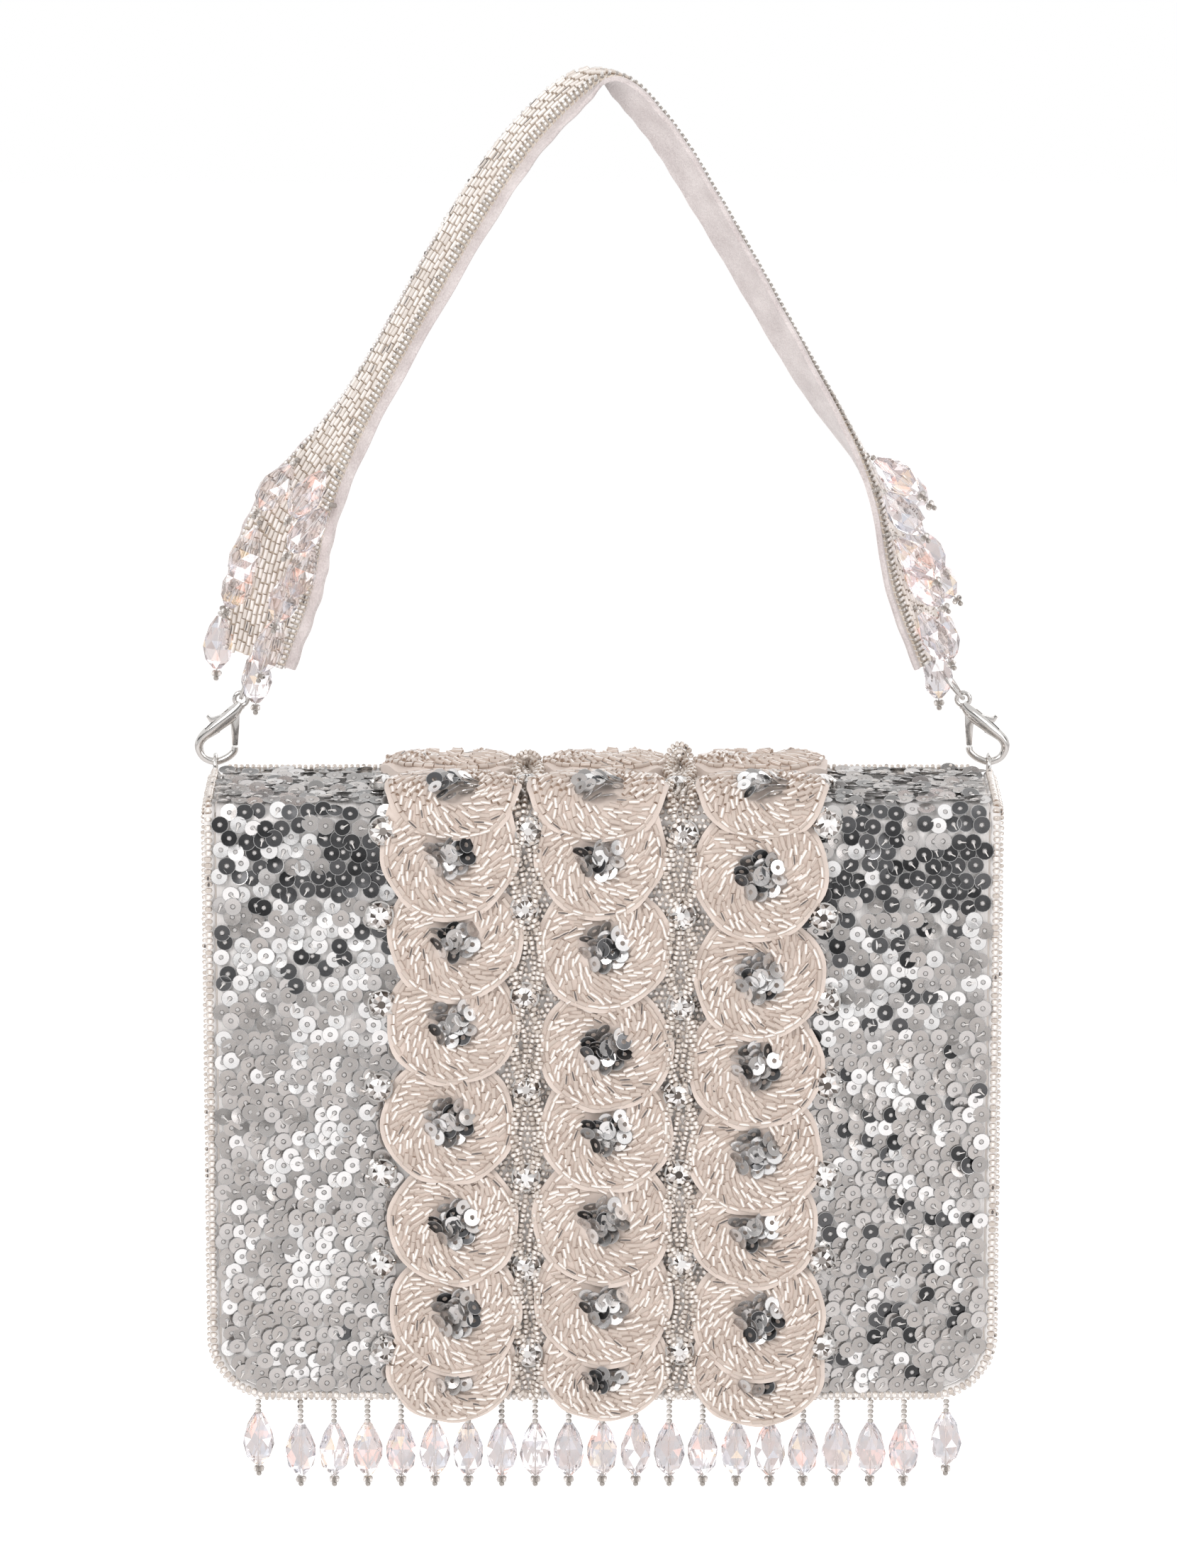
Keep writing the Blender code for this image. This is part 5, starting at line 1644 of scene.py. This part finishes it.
def dress_strap():
    frames = strap_frames(16)
    rng = random.Random(51)
    pad = loft("strap_felt", [pad_section(frame) for frame in frames], FELT)
    velvet = loft("strap_velvet", [velvet_section(frame, index) for index, frame in enumerate(frames)], VELVET)
    bugles = sew("strap_bugles", strap_bugles(frames, 52), BUGLE_SHAPE, STRAP_BUGLE, tilt=0.04, seed=5)
    seeds = sew("strap_edge_beads", strap_seeds(frames, 53), SEED_SHAPE, SILVER_BEAD, seed=6)
    stitches = sew("strap_stitches", strap_stitches(frames), STITCH_SHAPE, THREAD)
    pieces = [(pad, "beadwork"), (velvet, "white_velvet"), (bugles, "beadwork"), (seeds, "seed_beads"),
              (stitches, "white_velvet")]
    for side, word in ((-1, "left"), (1, "right")):
        glass, beads, threads = paddle_drops(frames, side, rng)
        pieces.append((sew(f"{word}_paddle_glass", glass, DROP_SHAPE, CRYSTAL, seed=7), "crystal"))
        pieces.append((sew(f"{word}_paddle_beads", beads, SEED_SHAPE, SILVER_BEAD, seed=8), "seed_beads"))
        thread = add_object(f"{word}_paddle_threads", mesh_from("threads", threads, True), THREAD)
        pieces.append((thread, "white_velvet"))
    for piece, slot in pieces:
        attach(piece, "strap")
    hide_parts("strap_band")
    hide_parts("strap_backing")


# Clasps and rings

def clasp_point(side, out, height, depth=0.0):
    """A point of a clasp from its eye: out is away from the bag's middle."""
    return Vector((side * (EYE_X + out), depth, EYE_Z + height))


def ring_route(middle, one, other, steps=48):
    """A closed circle with two radius vectors."""
    angles = [2 * math.pi * step / steps for step in range(steps)]
    return [middle + one * math.cos(a) + other * math.sin(a) for a in angles]


def plain_mesh(obj):
    """Turns an object's modifiers into its mesh."""
    bpy.context.view_layer.update()
    depsgraph = bpy.context.evaluated_depsgraph_get()
    obj.data = bpy.data.meshes.new_from_object(obj.evaluated_get(depsgraph), depsgraph=depsgraph)
    obj.modifiers.clear()


def clasp_body(side, word):
    """A cast hook with an eye, its slot cut through for the lever."""
    route = smooth_points([(out * MM, height * MM, share) for out, height, share in HOOK_ROUTE], 6)
    bm = bmesh.new()
    tube(bm, [clasp_point(side, p.x, p.y) for p in route], [p.z * HOOK_WIRE / 2 for p in route], 20)
    bmesh.ops.recalc_face_normals(bm, faces=bm.faces)
    body = add_object(f"{word}_clasp_hook", mesh_from("hook", bm, True), NICKEL)
    cutter_bm = bmesh.new()
    bmesh.ops.create_cube(cutter_bm, size=1)
    low = clasp_point(side, SLOT_OUT[0], SLOT_HEIGHT[0], -CLASP_SLOT / 2)
    high = clasp_point(side, SLOT_OUT[1], SLOT_HEIGHT[1], CLASP_SLOT / 2)
    span = high - low
    bmesh.ops.scale(cutter_bm, vec=[abs(value) for value in span], verts=cutter_bm.verts)
    bmesh.ops.translate(cutter_bm, vec=(low + high) / 2, verts=cutter_bm.verts)
    cutter = add_object("slot_cutter", mesh_from("slot_cutter", cutter_bm))
    slot = body.modifiers.new("slot", "BOOLEAN")
    slot.operation = "DIFFERENCE"
    slot.object = cutter
    plain_mesh(body)
    bpy.data.objects.remove(cutter, do_unlink=True)
    eye = ring_route(clasp_point(side, 0, 0), Vector((EYE_RADIUS, 0, 0)), Vector((0, 0, EYE_RADIUS)), 32)
    return body, bar(f"{word}_clasp_eye", eye, EYE_WIRE / 2, NICKEL, 14, True)


def clasp_lever(side, word):
    """The flat lever: hub, thumb tab and gate, with eased edges."""
    bm = bmesh.new()
    pin = clasp_point(side, *LEVER_PIN_AT)
    corners = [bm.verts.new(pin + Vector((side * out * MM, -LEVER_THICKNESS / 2, height * MM)))
               for out, height in LEVER_OUTLINE]
    face = bm.faces.new(corners)
    moved = bmesh.ops.extrude_face_region(bm, geom=[face])
    bmesh.ops.translate(bm, vec=(0, LEVER_THICKNESS, 0),
                        verts=[item for item in moved["geom"] if isinstance(item, bmesh.types.BMVert)])
    bmesh.ops.recalc_face_normals(bm, faces=bm.faces)
    bmesh.ops.bevel(bm, geom=list(bm.edges), offset=0.28 * MM, segments=2, affect="EDGES", profile=0.6)
    return add_object(f"{word}_clasp_gate", mesh_from("lever", bm, True), NICKEL)


def clasp_pin(side, word):
    """The rivet that the lever turns on, with a low dome at each end."""
    half = LEVER_PIN_LENGTH / 2
    radius = LEVER_PIN / 2
    profile = ((0.2 * radius, half + 0.12 * MM), (0.75 * radius, half + 0.06 * MM), (radius, half - 0.08 * MM),
               (radius, 0.08 * MM - half), (0.75 * radius, -half - 0.06 * MM), (0.2 * radius, -half - 0.12 * MM))
    bm = turned(profile, 20)
    bmesh.ops.rotate(bm, cent=(0, 0, 0), matrix=Matrix.Rotation(math.pi / 2, 3, "X"), verts=bm.verts)
    bmesh.ops.translate(bm, vec=clasp_point(side, *LEVER_PIN_AT), verts=bm.verts)
    return add_object(f"{word}_clasp_rivet", mesh_from("rivet", bm, True), NICKEL)


def bag_ring_route(side):
    radius = BAG_RING_REACH
    points = []
    for step in range(25):
        angle = math.pi * step / 24
        points.append(Vector((side * RING_X, radius * math.cos(angle), BAG_RING_UPPER + radius * math.sin(angle))))
    for step in range(25):
        angle = math.pi * step / 24
        points.append(Vector((side * RING_X, -radius * math.cos(angle), BAG_RING_LOWER - radius * math.sin(angle))))
    return points


def ring_loop_route(side):
    """The sewn loop that passes through the ring and runs down the back."""
    reach = 1.9 * MM
    sewn = BACK_Y + 1.3 * MM
    low = BAG_RING_LOWER - BAG_RING_REACH
    down = low - 13 * MM
    mid = (low + down) / 2
    route = ((RING_X - 2.4 * reach, sewn, down), (RING_X - 1.7 * reach, sewn, mid),
             (RING_X - 1.1 * reach, sewn / 3, low), (RING_X, 0, low + 2.0 * MM),
             (RING_X + 1.1 * reach, sewn / 3, low), (RING_X - 0.1 * reach, sewn, mid),
             (RING_X - 0.9 * reach, sewn, down))
    return smooth_points([(side * x, y, z) for x, y, z in route], 8)


def dress_hardware():
    frames = strap_frames(16)
    for side, word in ((-1, "left"), (1, "right")):
        hook, eye = clasp_body(side, word)
        pin = clasp_pin(side, word)
        lever = clasp_lever(side, word)
        end = frames[0 if side < 0 else -1][0]
        seat = clasp_point(side, 0, EYE_RADIUS - EYE_WIRE / 2 - RING_WIRE / 2 - 0.3 * MM)
        across = end - seat
        radius = (across.length - RING_WIRE / 2 - 0.9 * MM) / 2
        rise = across.normalized() * radius
        strap_ring = bar(f"{word}_strap_wire", ring_route(seat + rise, rise, BACKWARD * radius), RING_WIRE / 2,
                         NICKEL, 12, True)
        bag_ring = bar(f"{word}_bag_wire", bag_ring_route(side), RING_WIRE / 2, NICKEL, 12, True)
        loop = bar(f"{word}_sewn_loop", ring_loop_route(side), 0.95 * MM, SATIN, 10)
        for piece, body, node in ((hook, "strap", f"{word}_clasp_body"), (eye, "strap", None),
                                  (pin, "strap", f"{word}_clasp_pin"),
                                  (lever, f"{word}_lever", f"{word}_clasp_lever"),
                                  (strap_ring, "strap", f"{word}_strap_ring"),
                                  (bag_ring, "bag", f"{word}_bag_ring"), (loop, "bag", f"{word}_ring_loop")):
            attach(piece, body)
            if node:
                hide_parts(node)


# Body

def rounded_outline(half_width, half_depth, corner):
    """A rounded rectangle, anticlockwise from the front's left end, as (x, y) about its middle."""
    points = []
    inner_x, inner_y = half_width - corner, half_depth - corner
    for step in range(30):
        points.append((-inner_x + 2 * inner_x * step / 30, -half_depth))
    for step in range(6):
        angle = -math.pi / 2 + math.pi / 2 * step / 6
        points.append((inner_x + corner * math.cos(angle), -inner_y + corner * math.sin(angle)))
    for step in range(10):
        points.append((half_width, -inner_y + 2 * inner_y * step / 10))
    for step in range(6):
        angle = math.pi / 2 * step / 6
        points.append((inner_x + corner * math.cos(angle), inner_y + corner * math.sin(angle)))
    for x, y in points[:]:
        points.append((-x, -y))
    return points


def rim_height(y, half_depth):
    """The mouth's rim: highest at the back, a little lower at the front, dipped at the sides."""
    broad = BODY_TOP if y > 0 else BODY_TOP - 1.2 * MM
    dip = BODY_TOP - 3 * MM
    return dip + (broad - dip) * (y / half_depth) ** 2


def pouch_rows(half_width, half_depth, corner, base, base_round, swell, pull, lower_rim=0.0):
    """Loops of a sewn pouch from rim to base: its broad sides swell and its narrow ones draw in."""
    outline = rounded_outline(half_width, half_depth, corner)
    rows = []

    def loop(share, inset, drop):
        fullness = math.sin(math.pi * min(0.97, 0.04 + 0.93 * share)) ** 0.7
        ring = []
        for x, y in outline:
            crease = noise.noise(Vector((x / (45 * MM), y / (30 * MM), 6 * share)))
            fill = swell * (1 + 0.35 * crease)
            wide = fill * fullness * (1 - (x / half_width) ** 2) * y / half_depth
            narrow = pull * fullness * (1 - (y / half_depth) ** 2) * x / half_width
            top = rim_height(y, half_depth) - lower_rim
            z = top + (base + base_round - top) * share - drop
            ring.append(Vector((x * (half_width - inset) / half_width - narrow,
                                BODY_MIDDLE + y * (half_depth - inset) / half_depth + wide, z)))
        rows.append(ring)

    for step in range(25):
        loop(step / 24, 0, 0)
    for step in range(1, 6):
        angle = math.pi / 2 * step / 5
        loop(1, base_round * (1 - math.cos(angle)), base_round * math.sin(angle))
    return rows


def pouch(name, rows, wall, finish):
    bm = bmesh.new()
    rings = [[bm.verts.new(point) for point in row] for row in rows]
    count = len(rings[0])
    for ring, following in zip(rings, rings[1:]):
        for index in range(count):
            other = (index + 1) % count
            bm.faces.new((following[index], following[other], ring[other], ring[index]))
    bm.faces.new(rings[-1][::-1])
    obj = add_object(name, mesh_from(name, bm, True), finish)
    thickness = obj.modifiers.new("wall", "SOLIDIFY")
    thickness.thickness = wall
    thickness.offset = -1
    return obj


# Places in a rounded outline: the corner seams, and where the broad sides' stitching runs beside them
FRONT_SEAM = (101, 33)
BACK_SEAM = (49, 85)
FRONT_STITCH = (0, 30)
BACK_STITCH = (52, 82)
SEAM_ROW = 27
STITCH_ROW = 23


def panel_path(rows, first, last, low_row):
    """A path down one side of a panel, along its foot and up its other side."""
    count = len(rows[0])
    span = (last - first) % count
    down = [row[first] for row in rows[:low_row]]
    foot = [rows[low_row][(first + step) % count] for step in range(span + 1)]
    rise = [row[last] for row in rows[:low_row]][::-1]
    return down + foot + rise


def seam_stitches(path, normal, pitch):
    rows = [(point, normal) for point in path]
    return [(place + face * 0.3 * MM, heading, face, 1.5, 0.6) for place, heading, face in resample(rows, pitch)]


def slip_pocket():
    """A flat pocket sewn to the lining's back wall, its mouth a little open."""
    bm = bmesh.new()
    wall_y = BACK_Y - 3.9 * MM
    across, tall = 16, 10
    grid = []
    for row in range(tall + 1):
        share = row / tall
        line = []
        for column in range(across + 1):
            side = 2 * column / across - 1
            bulge = (1 - side ** 2) * (0.5 + 3.0 * (1 - share) ** 3) * MM
            line.append(bm.verts.new((side * 62 * MM, wall_y - bulge, BODY_TOP - (32 + 78 * share) * MM)))
        grid.append(line)
    for upper, lower in zip(grid, grid[1:]):
        for column in range(across):
            bm.faces.new((upper[column], lower[column], lower[column + 1], upper[column + 1]))
    bmesh.ops.recalc_face_normals(bm, faces=bm.faces)
    pocket = add_object("slip_pocket", mesh_from("slip_pocket", bm, True), LINING)
    wall = pocket.modifiers.new("cloth", "SOLIDIFY")
    wall.thickness = 0.6 * MM
    return pocket


def hinge_cloth():
    """The strip of satin that joins the back to the flap."""
    profile = ((-3.9, -217), (-3.6, -209), (-3.7, -204.6), (-4.3, -202.2), (-5.6, -200.85), (-8, -200.7), (-12, -200.7))
    line = smooth_points([(0, y * MM, z * MM) for y, z in profile], 5)
    bm = bmesh.new()
    columns = 24
    grid = []
    for point in line:
        depth = max(0, (BODY_TOP - point.z) / (13.3 * MM))
        row = []
        for column in range(columns + 1):
            side = 2 * column / columns - 1
            row.append(bm.verts.new(point + Vector((108.5 * MM * side, 1.1 * MM * depth * (1 - side ** 2), 0))))
        grid.append(row)
    for upper, lower in zip(grid, grid[1:]):
        for column in range(columns):
            bm.faces.new((upper[column], lower[column], lower[column + 1], upper[column + 1]))
    bmesh.ops.recalc_face_normals(bm, faces=bm.faces)
    strip = add_object("hinge_cloth", mesh_from("hinge_cloth", bm, True), SATIN)
    wall = strip.modifiers.new("cloth", "SOLIDIFY")
    wall.thickness = 0.4 * MM
    return strip


def dress_body():
    rows = pouch_rows(BODY_HALF, BODY_DEPTH_HALF, 4 * MM, BASE_Z, 6 * MM, 1.6 * MM, 2.2 * MM)
    shell = pouch("bag_shell", rows, 1.8 * MM, SATIN)
    lining_rows = pouch_rows(BODY_HALF - 2.9 * MM, BODY_DEPTH_HALF - 2.9 * MM, 3 * MM, BASE_Z + 2.8 * MM, 6 * MM,
                             1.2 * MM, 2.2 * MM, 0.6 * MM)
    lining = pouch("lining_pouch", lining_rows, 0.6 * MM, LINING)
    rim_line = [point + Vector((0, 0, -1.3 * MM)) for point in rows[0]]
    rim = bar("mouth_piping", rim_line, 0.9 * MM, SATIN, 10, True)
    front_seam = bar("front_piping", panel_path(rows, *FRONT_SEAM, SEAM_ROW), 1.3 * MM, SATIN, 10)
    back_seam = bar("back_piping", panel_path(rows, *BACK_SEAM, SEAM_ROW), 1.3 * MM, SATIN, 10)
    stitches = seam_stitches(panel_path(rows, *FRONT_STITCH, STITCH_ROW), Vector((0, -1, 0)), 4.0 * MM)
    stitches += seam_stitches(panel_path(rows, *BACK_STITCH, STITCH_ROW), Vector((0, 1, 0)), 4.0 * MM)
    sewing = sew("seam_stitches", stitches, STITCH_SHAPE, THREAD)
    pocket = slip_pocket()
    for piece, slot in ((shell, "ivory_satin"), (lining, "lining_cloth"), (rim, "ivory_satin"),
                        (front_seam, "ivory_satin"), (back_seam, "ivory_satin"), (sewing, "ivory_satin"),
                        (pocket, "lining_cloth")):
        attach(piece, "bag")
    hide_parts("back_panel", "front_panel", "left_gusset", "right_gusset", "base_panel")
    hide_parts("lining")
    strip = hinge_cloth()
    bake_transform(strip)
    for node in ("snap_socket", "snap_stud"):
        for slot in frame["nodes"][node].material_slots:
            slot.material = NICKEL


# The flap

def dress_flap():
    cover = flap_sheet("flap_cover", 0, FLAP_END, FLAP_HALF, -FLAP_WALL, FLAP_WALL, NET)
    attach(cover, "flap")
    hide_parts("flap_panel")
    inner = flap_sheet("flap_lining_cloth", 8 * MM, FLAP_END - 2 * MM, FLAP_HALF - 1.5 * MM, -FLAP_WALL - 0.8 * MM,
                       0.55 * MM, LINING)
    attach(inner, "flap")
    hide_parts("flap_lining")
    for word, side, seed in (("left", -1, 11), ("right", 1, 12)):
        guides = sequin_guides(side, seed)
        field = sew(f"{word}_sequins", guides, SEQUIN_SHAPE, SEQUIN, seed=seed)
        knots = sew(f"{word}_sequin_knots", sequin_knots(guides), KNOT_SHAPE, KNOT)
        threads = sew(f"{word}_sequin_threads", sequin_threads(guides, seed), STITCH_SHAPE, THREAD)
        for piece, slot in ((field, "silver_sequins"), (knots, "white_velvet"), (threads, "white_velvet")):
            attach(piece, "flap")
        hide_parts(f"{word}_sequin_field")
    everywhere = []
    for seed, (word, x) in enumerate(ROSETTE_COLUMNS, start=21):
        rosettes = column_rosettes(word, x, seed)
        everywhere += rosettes
        cloth = rosette_cloth(word, rosettes)
        bugles = rosette_bugles(word, rosettes, seed)
        hearts = rosette_hearts(word, rosettes, seed + 10)
        for piece in (cloth, bugles, hearts):
            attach(piece, "flap")
        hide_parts(f"{word}_rosettes")
    for seed, (word, x) in enumerate(ROPE_COLUMNS, start=31):
        guides = rope_guides(x, seed) + gap_guides(x, everywhere, seed)
        for width, height in ROPE_ENDS[word]:
            guides += rope_end(x, width, height, seed)
        rope = sew(f"{word}_rope_beads", guides, SEED_SHAPE, CLEAR_BEAD)
        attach(rope, "flap")
        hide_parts(f"{word}_bead_rope")
    stones = sew("flap_stones", stone_guides(35), STONE_SHAPE, FOIL_STONE)
    cups = sew("flap_stone_cups", stone_guides(35), CUP_SHAPE, NICKEL)
    roll = bar("flap_edge_roll", [row[0] for row in edge_path()], 1.5 * MM, NET, 10)
    outer = sew("flap_edge_outer_beads", edge_guides(1.5 * MM, -0.3 * MM, 1.6 * MM, 0.95, 36), SEED_SHAPE, CLEAR_BEAD)
    face_guides = edge_guides(0.25 * MM, 1.45 * MM, 1.85 * MM, 1.22, 37) + hinge_guides(38)
    inner_beads = sew("flap_edge_inner_beads", face_guides, SEED_SHAPE, CLEAR_BEAD)
    for piece, slot in ((stones, "crystal"), (cups, "nickel"), (roll, "ivory_satin"), (outer, "seed_beads"),
                        (inner_beads, "seed_beads")):
        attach(piece, "flap")
    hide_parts("flap_beaded_edge")


dress_flap()
dress_fringe()
dress_strap()
dress_hardware()
dress_body()
for shape in (BUGLE_SHAPE, SEED_SHAPE, SEQUIN_SHAPE, STONE_SHAPE, CUP_SHAPE, DROP_SHAPE, STITCH_SHAPE, KNOT_SHAPE):
    bpy.data.objects.remove(shape, do_unlink=True)
